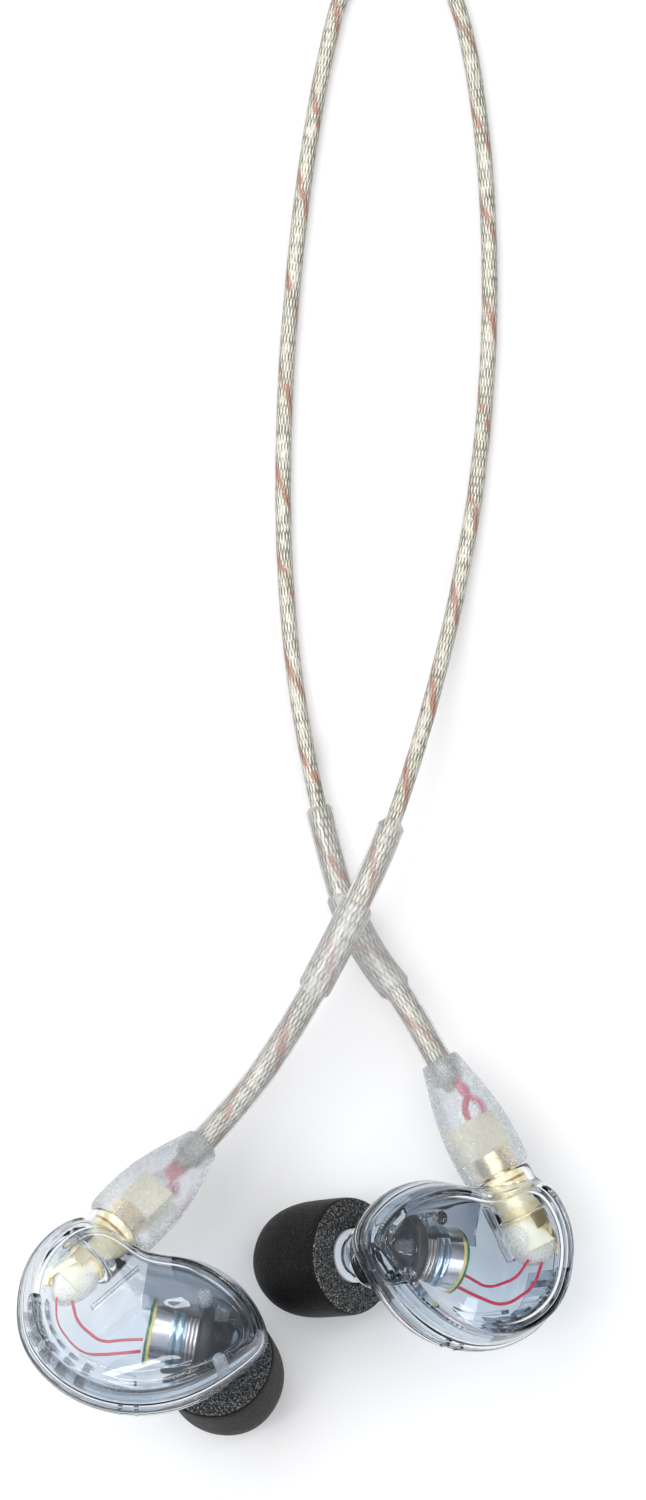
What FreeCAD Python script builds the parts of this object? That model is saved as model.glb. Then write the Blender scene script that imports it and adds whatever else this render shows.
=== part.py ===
import FreeCAD, Part
import math
import os

import Sketcher

# In-ear monitors laid flat on a table: two clear earpieces on detachable cables.
# Row frame: +Z up, table at Z = 0, origin under the middle of the two earpieces.
# Earpiece frame: u along the shell towards its nozzle end, v towards the cable side,
# w out of the face that is seen when the earpiece is worn. Millimetres throughout.

doc = FreeCAD.newDocument("in_ear_monitors")
Vec = FreeCAD.Vector

DIMENSIONS = [
    ("shell_length", 26.8),
    ("shell_face", 6.2),
    ("shell_back", 6.5),
    ("shell_wall", 1.0),
    ("collar_radius", 3.5),
    ("collar_length", 2.2),
    ("nozzle_lean", 10.0),
    ("nozzle_radius", 1.8),
    ("nozzle_bore", 1.2),
    ("nozzle_length", 10.5),
    ("nozzle_cone", 4.2),
    ("nozzle_cone_end", 2.3),
    ("nozzle_cone_length", 1.9),
    ("barb_radius", 2.05),
    ("barb_at", 6.5),
    ("barb_length", 1.2),
    ("screen_thick", 0.3),
    ("foam_radius", 6.4),
    ("foam_length", 12.2),
    ("foam_gap", 2.4),
    ("foam_nose", 4.4),
    ("foam_rim", 0.5),
    ("foam_mouth", 2.2),
    ("core_radius", 2.9),
    ("core_bore", 2.17),
    ("core_length", 9.6),
    ("driver_radius", 3.6),
    ("driver_lean", 4.0),
    ("board_thick", 0.6),
    ("board_hole", 0.6),
    ("cup_radius", 3.4),
    ("cup_height", 1.8),
    ("frame_height", 1.6),
    ("cover_height", 1.6),
    ("cover_hole", 0.9),
    ("gasket_height", 0.8),
    ("gasket_hole", 2.8),
    ("chamber_height", 2.4),
    ("chamber_end", 2.0),
    ("chamber_wall", 0.6),
    ("socket_angle", 60.0),
    ("socket_dip", 12.0),
    ("barrel_radius", 2.6),
    ("barrel_bore", 2.08),
    ("barrel_length", 4.8),
    ("barrel_lip", 0.3),
    ("ring_groove", 2.35),
    ("ring_thick", 0.4),
    ("ring_depth", 1.9),
    ("block_radius", 2.1),
    ("block_length", 3.4),
    ("contact_radius", 0.8),
    ("contact_bore", 0.45),
    ("contact_reach", 1.2),
    ("contact_tail", 0.6),
    ("lead_diameter", 0.3),
    ("link_radius", 2.0),
    ("link_bore", 1.3),
    ("link_reach", 3.9),
    ("link_tail", 3.0),
    ("pin_radius", 0.4),
    ("insert_width", 3.8),
    ("insert_depth", 3.2),
    ("insert_height", 4.2),
    ("insert_nose", 2.0),
    ("boot_start", 0.6),
    ("boot_length", 14.0),
    ("boot_width", 8.2),
    ("boot_depth", 5.6),
    ("boot_end", 4.0),
    ("boot_grip", 3.0),
    ("leg_diameter", 1.8),
    ("formed_diameter", 3.1),
    ("formed_bore", 2.72),
    ("memory_diameter", 0.4),
    ("memory_offset", -1.14),
    ("overlap_diameter", 3.8),
    ("main_diameter", 2.4),
    ("split_length", 14.0),
    ("split_width", 6.0),
    ("split_height", 4.4),
    ("pair_height", 2.4),
    ("slider_length", 9.0),
    ("slider_width", 6.0),
    ("slider_height", 4.2),
    ("slider_clear", 0.1),
    ("legs_coil_inside", 8.6),
    ("legs_coil_outside", 16.6),
    ("legs_coil_height", 3.8),
    ("main_coil_inside", 10.9),
    ("main_coil_outside", 18.5),
    ("main_coil_height", 9.9),
    ("tie_width", 5.0),
    ("tie_thick", 0.6),
    ("plug_radius", 1.75),
    ("plug_tip_length", 3.4),
    ("plug_ring_length", 2.4),
    ("plug_sleeve_length", 6.8),
    ("plug_gap_length", 0.6),
    ("plug_gap_radius", 1.55),
    ("plug_core", 1.0),
    ("plug_body_radius", 3.4),
    ("plug_body_length", 15.0),
    ("plug_shoulder", 2.4),
    ("plug_relief_length", 12.0),
    ("left_x", -16.54),
    ("left_y", -0.91),
    ("left_z", 19.65),
    ("left_turn", -10.0),
    ("left_roll", 0.0),
    ("left_tilt", -25.0),
    ("right_x", 17.15),
    ("right_y", 5.39),
    ("right_z", 14.48),
    ("right_turn", -5.0),
    ("right_roll", 34.0),
    ("right_tilt", -14.0),
]

sheet = doc.addObject("Spreadsheet::Sheet", "dims")
for row, (alias, value) in enumerate(DIMENSIONS, start=1):
    sheet.set(f"A{row}", alias)
    sheet.set(f"B{row}", str(value))
    sheet.setAlias(f"B{row}", alias)
doc.recompute()

HAND = {"left": 1, "right": -1}
SIDES = ("left", "right")
SUB_PARTS = []


def dim(alias):
    return float(getattr(sheet, alias))


def keep(thing, name, placement=None):
    """Names a finished sub-part and puts it in its place."""
    thing.Label = name
    if placement is not None:
        thing.Placement = placement
    SUB_PARTS.append(thing)
    return thing


def solid_feature(name, shape, placement=None):
    """A sub-part whose shape is worked out with Part's own functions."""
    feature = doc.addObject("Part::Feature", name)
    feature.Shape = shape
    return keep(feature, name, placement)


# ---------------------------------------------------------------- frames


def ear_frame(side):
    """Where an earpiece's own frame lies on the table."""
    turns = (
        FreeCAD.Rotation(Vec(1, 0, 0), dim(side + "_tilt"))
        * FreeCAD.Rotation(Vec(0, 1, 0), dim(side + "_roll"))
        * FreeCAD.Rotation(Vec(0, 0, 1), dim(side + "_turn"))
    )
    place = Vec(dim(side + "_x"), dim(side + "_y"), dim(side + "_z"))
    return FreeCAD.Placement(place, turns)


def local(side, u, v, w):
    """A point of the earpiece frame. The right earpiece is the left one's mirror image."""
    return Vec(HAND[side] * u, v, w)


def axis_frame(side, start, along, across):
    """A frame on the earpiece with Z along a turned piece's axis, in row coordinates."""
    z = local(side, *along).normalize()
    x = local(side, *across)
    x = (x - z * x.dot(z)).normalize()
    y = z.cross(x)
    at = local(side, *start)
    matrix = FreeCAD.Matrix(
        x.x, y.x, z.x, at.x, x.y, y.y, z.y, at.y, x.z, y.z, z.z, at.z, 0, 0, 0, 1
    )
    return ear_frame(side).multiply(FreeCAD.Placement(matrix))


SOCKET_AT = (-5.0, 9.6, 0.0)
NOZZLE_AT = (7.2, 0.2, -6.2)
DRIVER_AT = (0.6, 0.0, -0.5)


def socket_axis():
    angle = math.radians(dim("socket_angle"))
    dip = math.radians(dim("socket_dip"))
    return (
        math.cos(angle) * math.cos(dip),
        math.sin(angle) * math.cos(dip),
        -math.sin(dip),
    )


def nozzle_axis():
    lean = math.radians(dim("nozzle_lean"))
    return (math.sin(lean), 0.0, -math.cos(lean))


def driver_axis():
    lean = math.radians(dim("driver_lean"))
    return (math.cos(lean), 0.0, -math.sin(lean))


def socket_frame(side):
    angle = math.radians(dim("socket_angle"))
    return axis_frame(side, SOCKET_AT, socket_axis(), (math.sin(angle), -math.cos(angle), 0))


def nozzle_frame(side):
    return axis_frame(side, NOZZLE_AT, nozzle_axis(), (1, 0, 0))


def driver_frame(side):
    return axis_frame(side, DRIVER_AT, driver_axis(), (0, 1, 0))


# ---------------------------------------------------------------- turned pieces


def origin_plane(body, role):
    return next(o for o in body.Origin.OriginFeatures if o.Role == role)


def profile_sketch(body, outline):
    """A closed outline of (radius, height) expressions on the body's XZ plane."""
    sketch = body.newObject("Sketcher::SketchObject", body.Name + "_outline")
    sketch.AttachmentSupport = [(origin_plane(body, "XZ_Plane"), "")]
    sketch.MapMode = "FlatFace"
    values = [tuple(float(body.evalExpression(e)) for e in pair) for pair in outline]
    count = len(values)
    for i in range(count):
        (x0, y0), (x1, y1) = values[i], values[(i + 1) % count]
        sketch.addGeometry(Part.LineSegment(Vec(x0, y0, 0), Vec(x1, y1, 0)), False)
    for i in range(count):
        follower = (i + 1) % count
        sketch.addConstraint(Sketcher.Constraint("Coincident", i, 2, follower, 1))
    for i, ((x, y), pair) in enumerate(zip(values, outline)):
        for kind, value, expression, axis in (
            ("DistanceX", x, pair[0], -2),
            ("DistanceY", y, pair[1], -1),
        ):
            if abs(value) < 1e-9:
                sketch.addConstraint(Sketcher.Constraint("PointOnObject", i, 1, axis))
                continue
            number = sketch.addConstraint(Sketcher.Constraint(kind, -1, 1, i, 1, value))
            sketch.setExpression(f"Constraints[{number}]", expression)
    return sketch


def turned(name, outline, placement, rounds=()):
    """A body turned about its Z axis; rounds are (radius, height, size) of rim fillets."""
    body = doc.addObject("PartDesign::Body", name)
    sketch = profile_sketch(body, outline)
    turn = body.newObject("PartDesign::Revolution", name + "_turn")
    turn.Profile = sketch
    turn.ReferenceAxis = (sketch, ["V_Axis"])
    turn.Angle = 360
    sketch.Visibility = False
    for number, (radius, height, size) in enumerate(rounds, start=1):
        doc.recompute()
        base = body.Tip
        at = float(body.evalExpression(radius)), float(body.evalExpression(height))
        rim = [
            f"Edge{i}"
            for i, edge in enumerate(base.Shape.Edges, start=1)
            if hasattr(edge.Curve, "Radius")
            and abs(edge.Curve.Radius - at[0]) < 1e-4
            and abs(edge.Curve.Center.z - at[1]) < 1e-4
        ]
        fillet = body.newObject("PartDesign::Fillet", f"{name}_round{number}")
        fillet.Base = (base, rim)
        fillet.setExpression("Radius", size)
    return keep(body, name, placement)


def tube_outline(inner, outer, low, high):
    return [(inner, low), (outer, low), (outer, high), (inner, high)]


def rod_outline(outer, low, high):
    return tube_outline("0", outer, low, high)


def foam_sleeve(side):
    outline = [
        ("dims.core_radius", "dims.foam_gap"),
        ("dims.foam_radius", "dims.foam_gap"),
        ("dims.foam_radius", "dims.foam_gap + dims.foam_length"),
        ("dims.foam_mouth", "dims.foam_gap + dims.foam_length"),
        ("dims.foam_mouth", "dims.foam_gap + dims.core_length"),
        ("dims.core_radius", "dims.foam_gap + dims.core_length"),
    ]
    nose = ("dims.foam_radius", "dims.foam_gap + dims.foam_length", "dims.foam_nose - 0.4")
    rim = ("dims.foam_radius", "dims.foam_gap", "dims.foam_rim")
    return turned(side + "_foam_sleeve", outline, nozzle_frame(side), (nose, rim))


def sleeve_core(side):
    outline = tube_outline(
        "dims.core_bore",
        "dims.core_radius",
        "dims.foam_gap",
        "dims.foam_gap + dims.core_length",
    )
    return turned(side + "_sleeve_core", outline, nozzle_frame(side))


def nozzle_screen(side):
    outline = rod_outline(
        "dims.nozzle_bore", "dims.nozzle_length - dims.screen_thick", "dims.nozzle_length"
    )
    return turned(side + "_nozzle_screen", outline, nozzle_frame(side))


def driver_pieces(side):
    """The driver's stack, from the solder board at the back to the sound chamber."""
    frame = driver_frame(side)
    cup = "dims.board_thick"
    rim = cup + " + dims.cup_height"
    cover = rim + " + dims.frame_height"
    gasket = cover + " + dims.cover_height"
    chamber = gasket + " + dims.gasket_height"
    front = chamber + " + dims.chamber_height"
    turned(
        side + "_driver_board",
        tube_outline("dims.board_hole", "dims.driver_radius - 0.15", "0", cup),
        frame,
    )
    turned(side + "_driver_magnet_cup", rod_outline("dims.cup_radius", cup, rim), frame)
    turned(
        side + "_driver_frame",
        tube_outline("dims.gasket_hole - 0.8", "dims.driver_radius", rim, cover),
        frame,
    )
    turned(
        side + "_driver_cover",
        tube_outline("dims.cover_hole", "dims.driver_radius - 0.1", cover, gasket),
        frame,
        (("dims.driver_radius - 0.1", gasket, "0.3"),),
    )
    turned(
        side + "_driver_gasket",
        tube_outline("dims.gasket_hole", "dims.driver_radius + 0.05", gasket, chamber),
        frame,
    )
    outline = [
        ("dims.driver_radius - dims.chamber_wall", chamber),
        ("dims.driver_radius", chamber),
        ("dims.driver_radius - 0.2", chamber + " + 0.6"),
        ("dims.chamber_end", front),
        ("0", front),
        ("0", front + " - dims.chamber_wall"),
        ("dims.chamber_end - 0.3", front + " - dims.chamber_wall"),
        ("dims.driver_radius - dims.chamber_wall - 0.2", chamber + " + 0.6"),
    ]
    turned(side + "_front_chamber", outline, frame)


def socket_pieces(side):
    """The coaxial socket in the earpiece, with its insulator block and spring contact."""
    frame = socket_frame(side)
    outline = [
        ("dims.barrel_bore", "-dims.barrel_length"),
        ("dims.barrel_radius", "-dims.barrel_length"),
        ("dims.barrel_radius", "dims.barrel_lip"),
        ("dims.barrel_bore", "dims.barrel_lip"),
        ("dims.barrel_bore", "-dims.ring_depth"),
        ("dims.ring_groove + 0.04", "-dims.ring_depth"),
        ("dims.ring_groove + 0.04", "-dims.ring_depth - dims.ring_thick - 0.1"),
        ("dims.barrel_bore", "-dims.ring_depth - dims.ring_thick - 0.1"),
    ]
    turned(side + "_socket_barrel", outline, frame)
    back = "-dims.barrel_length"
    turned(
        side + "_socket_insulator",
        tube_outline("dims.contact_radius", "dims.block_radius", back + " - dims.block_length", back),
        frame,
    )
    tail = back + " - dims.block_length - dims.contact_tail"
    outline = [
        ("0", tail),
        ("dims.contact_radius", tail),
        ("dims.contact_radius", "-dims.contact_reach"),
        ("dims.contact_bore", "-dims.contact_reach"),
        ("dims.contact_bore", back),
        ("0", back),
    ]
    turned(side + "_socket_contact", outline, frame)


def snap_ring(side):
    outline = tube_outline(
        "dims.link_radius + 0.03",
        "dims.ring_groove",
        "-dims.ring_depth - dims.ring_thick - 0.05",
        "-dims.ring_depth - 0.05",
    )
    return turned(side + "_snap_ring", outline, socket_frame(side))


def connector_pieces(side):
    """The coaxial plug that the boot holds: its outer contact and its centre pin."""
    frame = socket_frame(side)
    turned(
        side + "_connector_shell",
        tube_outline("dims.link_bore", "dims.link_radius", "-dims.link_reach", "dims.link_tail"),
        frame,
    )
    turned(
        side + "_connector_pin",
        rod_outline("dims.pin_radius", "-dims.link_reach + 0.3", "dims.link_tail"),
        frame,
        (("dims.pin_radius", "-dims.link_reach + 0.3", "dims.pin_radius / 2"),),
    )


# ---------------------------------------------------------------- shells

# The outline at the seam, for a shell 25 mm long: a round bulb that narrows to the beak.
OUTLINE_LENGTH = 25.0
SHELL_OUTLINE = [
    (12.4, 0.6),
    (11.3, 3.3),
    (8.5, 5.9),
    (4.2, 7.4),
    (-0.6, 7.5),
    (-4.8, 9.2),
    (-8.8, 9.5),
    (-12.0, 5.6),
    (-12.6, 0.6),
    (-10.8, -4.3),
    (-6.0, -7.8),
    (0.4, -8.7),
    (6.6, -6.4),
    (10.9, -2.2),
]

# Height as a share of the half's depth, and size as a share of the seam's outline.
FACE_RISE = [(0.0, 1.0), (0.3, 0.985), (0.58, 0.93), (0.83, 0.83), (1.0, 0.64)]
BACK_RISE = [(0.0, 1.0), (0.3, 0.98), (0.58, 0.91), (0.83, 0.79), (1.0, 0.58)]


def outline_wire(size, w, inset, side):
    """The shell's outline made smaller, at height w, as one smooth closed curve."""
    scale = dim("shell_length") / OUTLINE_LENGTH
    shrink = size * (1 - inset / (dim("shell_length") / 2 - 3.4))
    points = []
    for u, v in SHELL_OUTLINE:
        points.append(local(side, u * scale * shrink, v * scale * shrink, w))
    curve = Part.BSplineCurve()
    curve.interpolate(Points=points, PeriodicFlag=True)
    return Part.Wire([curve.toShape()])


def half_shell(side, rise, depth, inset):
    """A closed dome from the seam to its end; depth is signed along w."""
    wires = [outline_wire(size, share * depth, inset, side) for share, size in rise]
    return Part.makeLoft(wires, True, False)


def rod(side, start, along, radius, low, high, end_radius=None):
    """A rod or cone in the earpiece frame, from low to high along an axis."""
    axis = local(side, *along).normalize()
    base = local(side, *start) + axis * low
    if end_radius is None:
        return Part.makeCylinder(radius, high - low, base, axis)
    return Part.makeCone(radius, end_radius, high - low, base, axis)


def shell_pieces(side):
    face, back, wall = dim("shell_face"), dim("shell_back"), dim("shell_wall")
    outside = half_shell(side, FACE_RISE, face, 0).fuse(half_shell(side, BACK_RISE, -back, 0))
    inside = half_shell(side, FACE_RISE, face - wall, wall).fuse(
        half_shell(side, BACK_RISE, wall - back, wall)
    )
    socket, nozzle = socket_axis(), nozzle_axis()
    collar = rod(side, SOCKET_AT, socket, dim("collar_radius"), -dim("collar_length"), 0.2)
    cone = rod(
        side,
        NOZZLE_AT,
        nozzle,
        dim("nozzle_cone"),
        -1.6,
        dim("nozzle_cone_length"),
        dim("nozzle_cone_end"),
    )
    spout = rod(side, NOZZLE_AT, nozzle, dim("nozzle_radius"), 0, dim("nozzle_length"))
    barb_top = dim("barb_at") + dim("barb_length")
    barb = rod(
        side,
        NOZZLE_AT,
        nozzle,
        dim("barb_radius"),
        dim("barb_at"),
        barb_top,
        dim("nozzle_radius"),
    )
    bore = rod(side, NOZZLE_AT, nozzle, dim("nozzle_bore"), -3.0, dim("nozzle_length") + 1)
    socket_hole = rod(side, SOCKET_AT, socket, dim("barrel_radius") + 0.03, -5.4, 3.0)
    whole = outside.fuse([collar, cone]).cut(inside).fuse([spout, barb])
    swing = rod(side, SOCKET_AT, socket, dim("boot_width") / 2 + 0.6, 0.25, 4.0)
    whole = whole.cut([bore, socket_hole, swing])
    reach = 2 * dim("shell_length")
    front_half = Part.makeBox(2 * reach, 2 * reach, reach, Vec(-reach, -reach, 0))
    for name, half in (
        ("_outer_shell", whole.common(front_half)),
        ("_inner_shell", whole.cut(front_half)),
    ):
        largest = max(half.Solids, key=lambda s: s.Volume)
        solid_feature(side + name, largest, ear_frame(side))


# ---------------------------------------------------------------- cords


def unit(vector):
    return Vec(vector).normalize()


def corner_radii(points):
    """Each bend's radius: as large as its two runs allow."""
    radii = []
    for before, at, after in zip(points, points[1:], points[2:]):
        turn = (at - before).getAngle(after - at)
        shorter = min((at - before).Length, (after - at).Length)
        radii.append(0.45 * shorter / math.tan(turn / 2))
    return radii


def route_edges(points):
    """Straight runs joined by tangent arcs, as line, arc, line and so on."""
    edges = []
    start = points[0]
    for before, at, after in zip(points, points[1:], points[2:]):
        back, onward = unit(before - at), unit(after - at)
        shorter = min((at - before).Length, (after - at).Length)
        reach = 0.45 * shorter
        first, last = at + back * reach, at + onward * reach
        half = back.getAngle(onward) / 2
        radius = reach * math.tan(half)
        centre = at + unit(back + onward) * (reach / math.cos(half))
        middle = centre + unit(at - centre) * radius
        edges.append(Part.LineSegment(start, first).toShape())
        edges.append(Part.Arc(first, middle, last).toShape())
        start = last
    edges.append(Part.LineSegment(start, points[-1]).toShape())
    return edges


def sweep(edges, diameter, offset=0.0):
    """A round bar along the edges; offset moves it aside, square to the path."""
    start = edges[0].valueAt(edges[0].FirstParameter)
    along = unit(edges[0].tangentAt(edges[0].FirstParameter))
    aside = unit(Vec(0, 0, 1) - along * along.z) * offset
    circle = Part.Wire([Part.makeCircle(diameter / 2, start + aside, along)])
    return Part.Wire(edges).makePipeShell([circle], True, False)


def report_cord(name, edges, diameter, points):
    """Prints a cord's bends and compares its volume with section times length."""
    length = sum(edge.Length for edge in edges)
    ratio = sweep(edges, diameter).Volume / (math.pi * diameter**2 / 4 * length)
    radii = " ".join(f"{radius:.0f}" for radius in corner_radii(points))
    print(f"{name}: {length:.1f} mm, volume ratio {ratio:.4f}, bend radii {radii}")


def along_socket(side, distance):
    """A point on the connector's axis, in the row frame."""
    return socket_frame(side).multVec(Vec(0, 0, distance))


# Where each leg runs on the table after it leaves its boot, up to where it is wound up.
# The left leg has a long low hump where it passes over the right one.
LEG_ROUTES = {
    "left": [
        (-0.4, 30.4, 7.6),
        (2.9, 36.6, 9.6),
        (7.6, 45.8, 9.6),
        (11.2, 54.6, 7.0),
        (14.6, 65.6, 3.4),
        (17.6, 77.6, 1.4),
        (20.0, 91.0, 0.9),
        (21.2, 107.0, 0.9),
        (20.9, 122.0, 0.9),
        (19.6, 134.0, 0.9),
        (17.7, 143.0, 0.9),
        (14.2, 149.4, 1.3),
        (12.2, 155.0, 2.2),
        (12.2, 159.4, 2.4),
    ],
    "right": [
        (8.0, 37.0, 3.4),
        (5.0, 42.8, 2.1),
        (3.0, 50.0, 1.95),
        (1.0, 58.6, 1.65),
        (-0.9, 70.0, 1.0),
        (-1.9, 84.0, 0.9),
        (-1.7, 100.0, 0.9),
        (-0.5, 115.0, 0.9),
        (1.0, 127.0, 0.9),
        (2.6, 136.0, 0.9),
        (4.6, 144.4, 0.9),
        (7.8, 150.4, 1.3),
        (9.8, 155.4, 2.2),
        (9.8, 159.4, 2.4),
    ],
}
# The formed section's last run, and the runs that its overlap sleeve covers.
FORMED_END = {"left": 4, "right": 4}
OVERLAP_RUNS = {"left": (2, 3), "right": (1, 3)}
BEND_RUN = 21.0

# From there the two legs run side by side through the slider to their coil.
PAIR_AT = Vec(11.0, 159.4, 0)
PAIR_ENDS = {"left": 187.6, "right": 183.0}
LEG_SPACING = 2.4
SLIDER_FROM = 0.6
LEGS_COIL_AT = Vec(-3.6, 192.0, 0)

# They leave the coil on this line, into the yoke where they join the main cable.
YOKE_LINE_AT = Vec(6.72, 202.32, 0)
YOKE_ANGLE = 135.0
COIL_EXIT = 7.0
YOKE_FROM = 12.6
YOKE_SEAT = 2.0

MAIN_COIL_AT = Vec(1.6, 239.5, 0)
MAIN_TO_COIL = [(-14.3, 223.3, 2.4), (-16.0, 228.8, 2.1), (-15.9, 234.2, 1.9)]
COIL_TO_PLUG = [
    (-11.5, 228.3, 9.1),
    (-16.3, 233.2, 8.4),
    (-20.2, 238.6, 6.7),
    (-22.6, 244.6, 4.6),
    (-23.4, 250.4, 3.4),
]
PLUG_AT = Vec(-23.4, 252.0, 0)
RELIEF_DEPTH = 3.6


def leg_points(side):
    """The stem through the boot, then the route on the table."""
    stem = dim("link_tail") + dim("insert_height")
    points = [along_socket(side, stem), along_socket(side, BEND_RUN)]
    return points + [Vec(*point) for point in LEG_ROUTES[side]]


def leg_edges(side, first_run, last_run):
    """The path from the middle of one run to the middle of another."""
    edges = route_edges(leg_points(side))[2 * first_run : 2 * last_run + 1]
    for place, keep_from in ((0, 0.5), (-1, 0.0)):
        edge = edges[place]
        low, high = edge.FirstParameter, edge.LastParameter
        first = low + (high - low) * keep_from
        last = high if place == 0 else low + (high - low) * 0.5
        edges[place] = Part.LineSegment(edge.valueAt(first), edge.valueAt(last)).toShape()
    return edges


def yoke_point(distance, side_step, height):
    """A point along the line on which the legs enter the yoke, stepped aside from it."""
    angle = math.radians(YOKE_ANGLE)
    along = Vec(math.cos(angle), math.sin(angle), 0)
    aside = Vec(-along.y, along.x, 0)
    return YOKE_LINE_AT + along * distance + aside * side_step + Vec(0, 0, height)


def leg_cable(side):
    """The leg in three stretches: free, paired with the other leg, and coil to yoke."""
    points = leg_points(side)
    route = route_edges(points)
    report_cord(side + "_leg_cable", route, dim("leg_diameter"), points)
    paired_end = Vec(points[-1].x, PAIR_ENDS[side], points[-1].z)
    step = LEG_SPACING / 2 if side == "right" else -LEG_SPACING / 2
    stretches = [
        route,
        [Part.LineSegment(points[-1], paired_end).toShape()],
        [
            Part.LineSegment(
                yoke_point(COIL_EXIT, step, dim("pair_height")),
                yoke_point(YOKE_FROM + YOKE_SEAT, step, dim("pair_height")),
            ).toShape()
        ],
    ]
    solids = [sweep(edges, dim("leg_diameter")) for edges in stretches]
    solid_feature(side + "_leg_cable", Part.makeCompound(solids))


def formed_section(side):
    """The clear sleeve over the part that is bent round the ear, and the wire that holds it."""
    grip = dim("boot_start") + dim("boot_length") - dim("boot_grip")
    points = leg_points(side)
    edges = route_edges(points)[: 2 * FORMED_END[side] + 1]
    first = edges[0]
    edges[0] = Part.LineSegment(
        along_socket(side, grip), first.valueAt(first.LastParameter)
    ).toShape()
    last = edges[-1]
    middle = (last.FirstParameter + last.LastParameter) / 2
    edges[-1] = Part.LineSegment(
        last.valueAt(last.FirstParameter), last.valueAt(middle)
    ).toShape()
    tube = sweep(edges, dim("formed_diameter")).cut(sweep(edges, dim("formed_bore")))
    solid_feature(side + "_formed_sleeve", tube)
    wire = sweep(edges, dim("memory_diameter"), dim("memory_offset"))
    solid_feature(side + "_memory_wire", wire)
    over = leg_edges(side, *OVERLAP_RUNS[side])
    band = sweep(over, dim("overlap_diameter")).cut(sweep(over, dim("formed_diameter")))
    solid_feature(side + "_overlap_sleeve", band)


def driver_leads(side):
    """Two thin enamelled wires from the socket to the driver's solder board."""
    routes = [
        [
            (-9.2, 1.0, 2.0),
            (-8.8, -1.6, 1.4),
            (-5.8, -4.0, 0.4),
            (-2.4, -3.2, -0.2),
            (0.35, -2.4, -0.4),
        ],
        [
            (-7.5, 1.0, 1.9),
            (-6.6, -1.0, 1.2),
            (-3.8, -2.4, 0.2),
            (-1.6, -1.6, -0.2),
            (0.35, -1.2, -0.3),
        ],
    ]
    wires = []
    for route in routes:
        points = [local(side, *point) for point in route]
        wires.append(sweep(route_edges(points), dim("lead_diameter")))
    solid_feature(side + "_driver_leads", Part.makeCompound(wires), ear_frame(side))


# ---------------------------------------------------------------- boots


def oval(width, depth, height):
    """An ellipse across the boot's axis, wide along X."""
    ellipse = Part.Ellipse(Vec(0, 0, height), width / 2, depth / 2)
    return Part.Wire([ellipse.toShape()])


def boot(side):
    """The moulded boot: oval at the earpiece, narrowing to the cable."""
    low, length = dim("boot_start"), dim("boot_length")
    width, depth, end = dim("boot_width"), dim("boot_depth"), dim("boot_end")
    stations = [
        (0.0, 0.94, 0.94),
        (0.05, 1.0, 1.0),
        (0.42, 1.0, 1.0),
        (0.75, 0.78, 0.86),
        (1.0, end / width, 0.97 * end / depth),
    ]
    rings = [oval(width * a, depth * b, low + length * share) for share, a, b in stations]
    shape = Part.makeLoft(rings, True, False)
    top = dim("link_tail") + dim("insert_height")
    grip = low + length - dim("boot_grip")
    holes = [
        Part.makeCylinder(dim("link_radius") + 0.02, dim("link_tail"), Vec(0, 0, 0)),
        Part.makeBox(
            dim("insert_width"),
            dim("insert_depth"),
            dim("insert_height"),
            Vec(-dim("insert_width") / 2, -dim("insert_depth") / 2, dim("link_tail")),
        ),
        Part.makeCylinder(dim("leg_diameter") / 2 + 0.02, grip - top + 1, Vec(0, 0, top - 0.5)),
        Part.makeCylinder(dim("formed_diameter") / 2 + 0.02, length, Vec(0, 0, grip - 0.02)),
    ]
    solid_feature(side + "_boot", shape.cut(holes), socket_frame(side))


def bound(kind, name, **cells):
    """A Part primitive whose sizes are bound to the sheet."""
    thing = doc.addObject(kind, name)
    for prop, expression in cells.items():
        thing.setExpression(prop, expression)
    return thing


def place_at(thing, x="0", y="0", z="0"):
    for axis, expression in (("x", x), ("y", y), ("z", z)):
        thing.setExpression("Placement.Base." + axis, expression)
    return thing


def fused(name, pieces):
    thing = doc.addObject("Part::MultiFuse", name)
    thing.Shapes = pieces
    return thing


def cut(name, base, tool):
    thing = doc.addObject("Part::Cut", name)
    thing.Base = base
    thing.Tool = tool
    return thing


def boot_insert(side):
    """The pale block that holds the centre pin inside the boot."""
    name = side + "_boot_insert"
    block = bound(
        "Part::Box",
        name + "_block",
        Length="dims.insert_width",
        Width="dims.insert_depth",
        Height="dims.insert_height",
    )
    place_at(block, "-dims.insert_width / 2", "-dims.insert_depth / 2", "dims.link_tail")
    nose = bound(
        "Part::Cylinder", name + "_nose", Radius="dims.link_bore", Height="dims.insert_nose"
    )
    place_at(nose, z="dims.link_tail - dims.insert_nose")
    hole = bound("Part::Cylinder", name + "_hole", Radius="dims.pin_radius", Height="dims.insert_nose")
    place_at(hole, z="dims.link_tail - dims.insert_nose")
    whole = cut(name, fused(name + "_whole", [block, nose]), hole)
    keep(whole, name, socket_frame(side))


# ---------------------------------------------------------------- shared cable pieces


def coils():
    """The outer shape of each coil; the main one lies on its tie."""
    for name, at, lift in (
        ("legs_coil", LEGS_COIL_AT, "0"),
        ("main_coil", MAIN_COIL_AT, "dims.tie_thick"),
    ):
        height = f"dims.{name}_height"
        disc = bound(
            "Part::Cylinder", name + "_disc", Radius=f"dims.{name}_outside", Height=height
        )
        eye = bound("Part::Cylinder", name + "_eye", Radius=f"dims.{name}_inside", Height=height)
        place_at(disc, str(at.x), str(at.y), lift)
        place_at(eye, str(at.x), str(at.y), lift)
        keep(cut(name, disc, eye), name)


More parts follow.
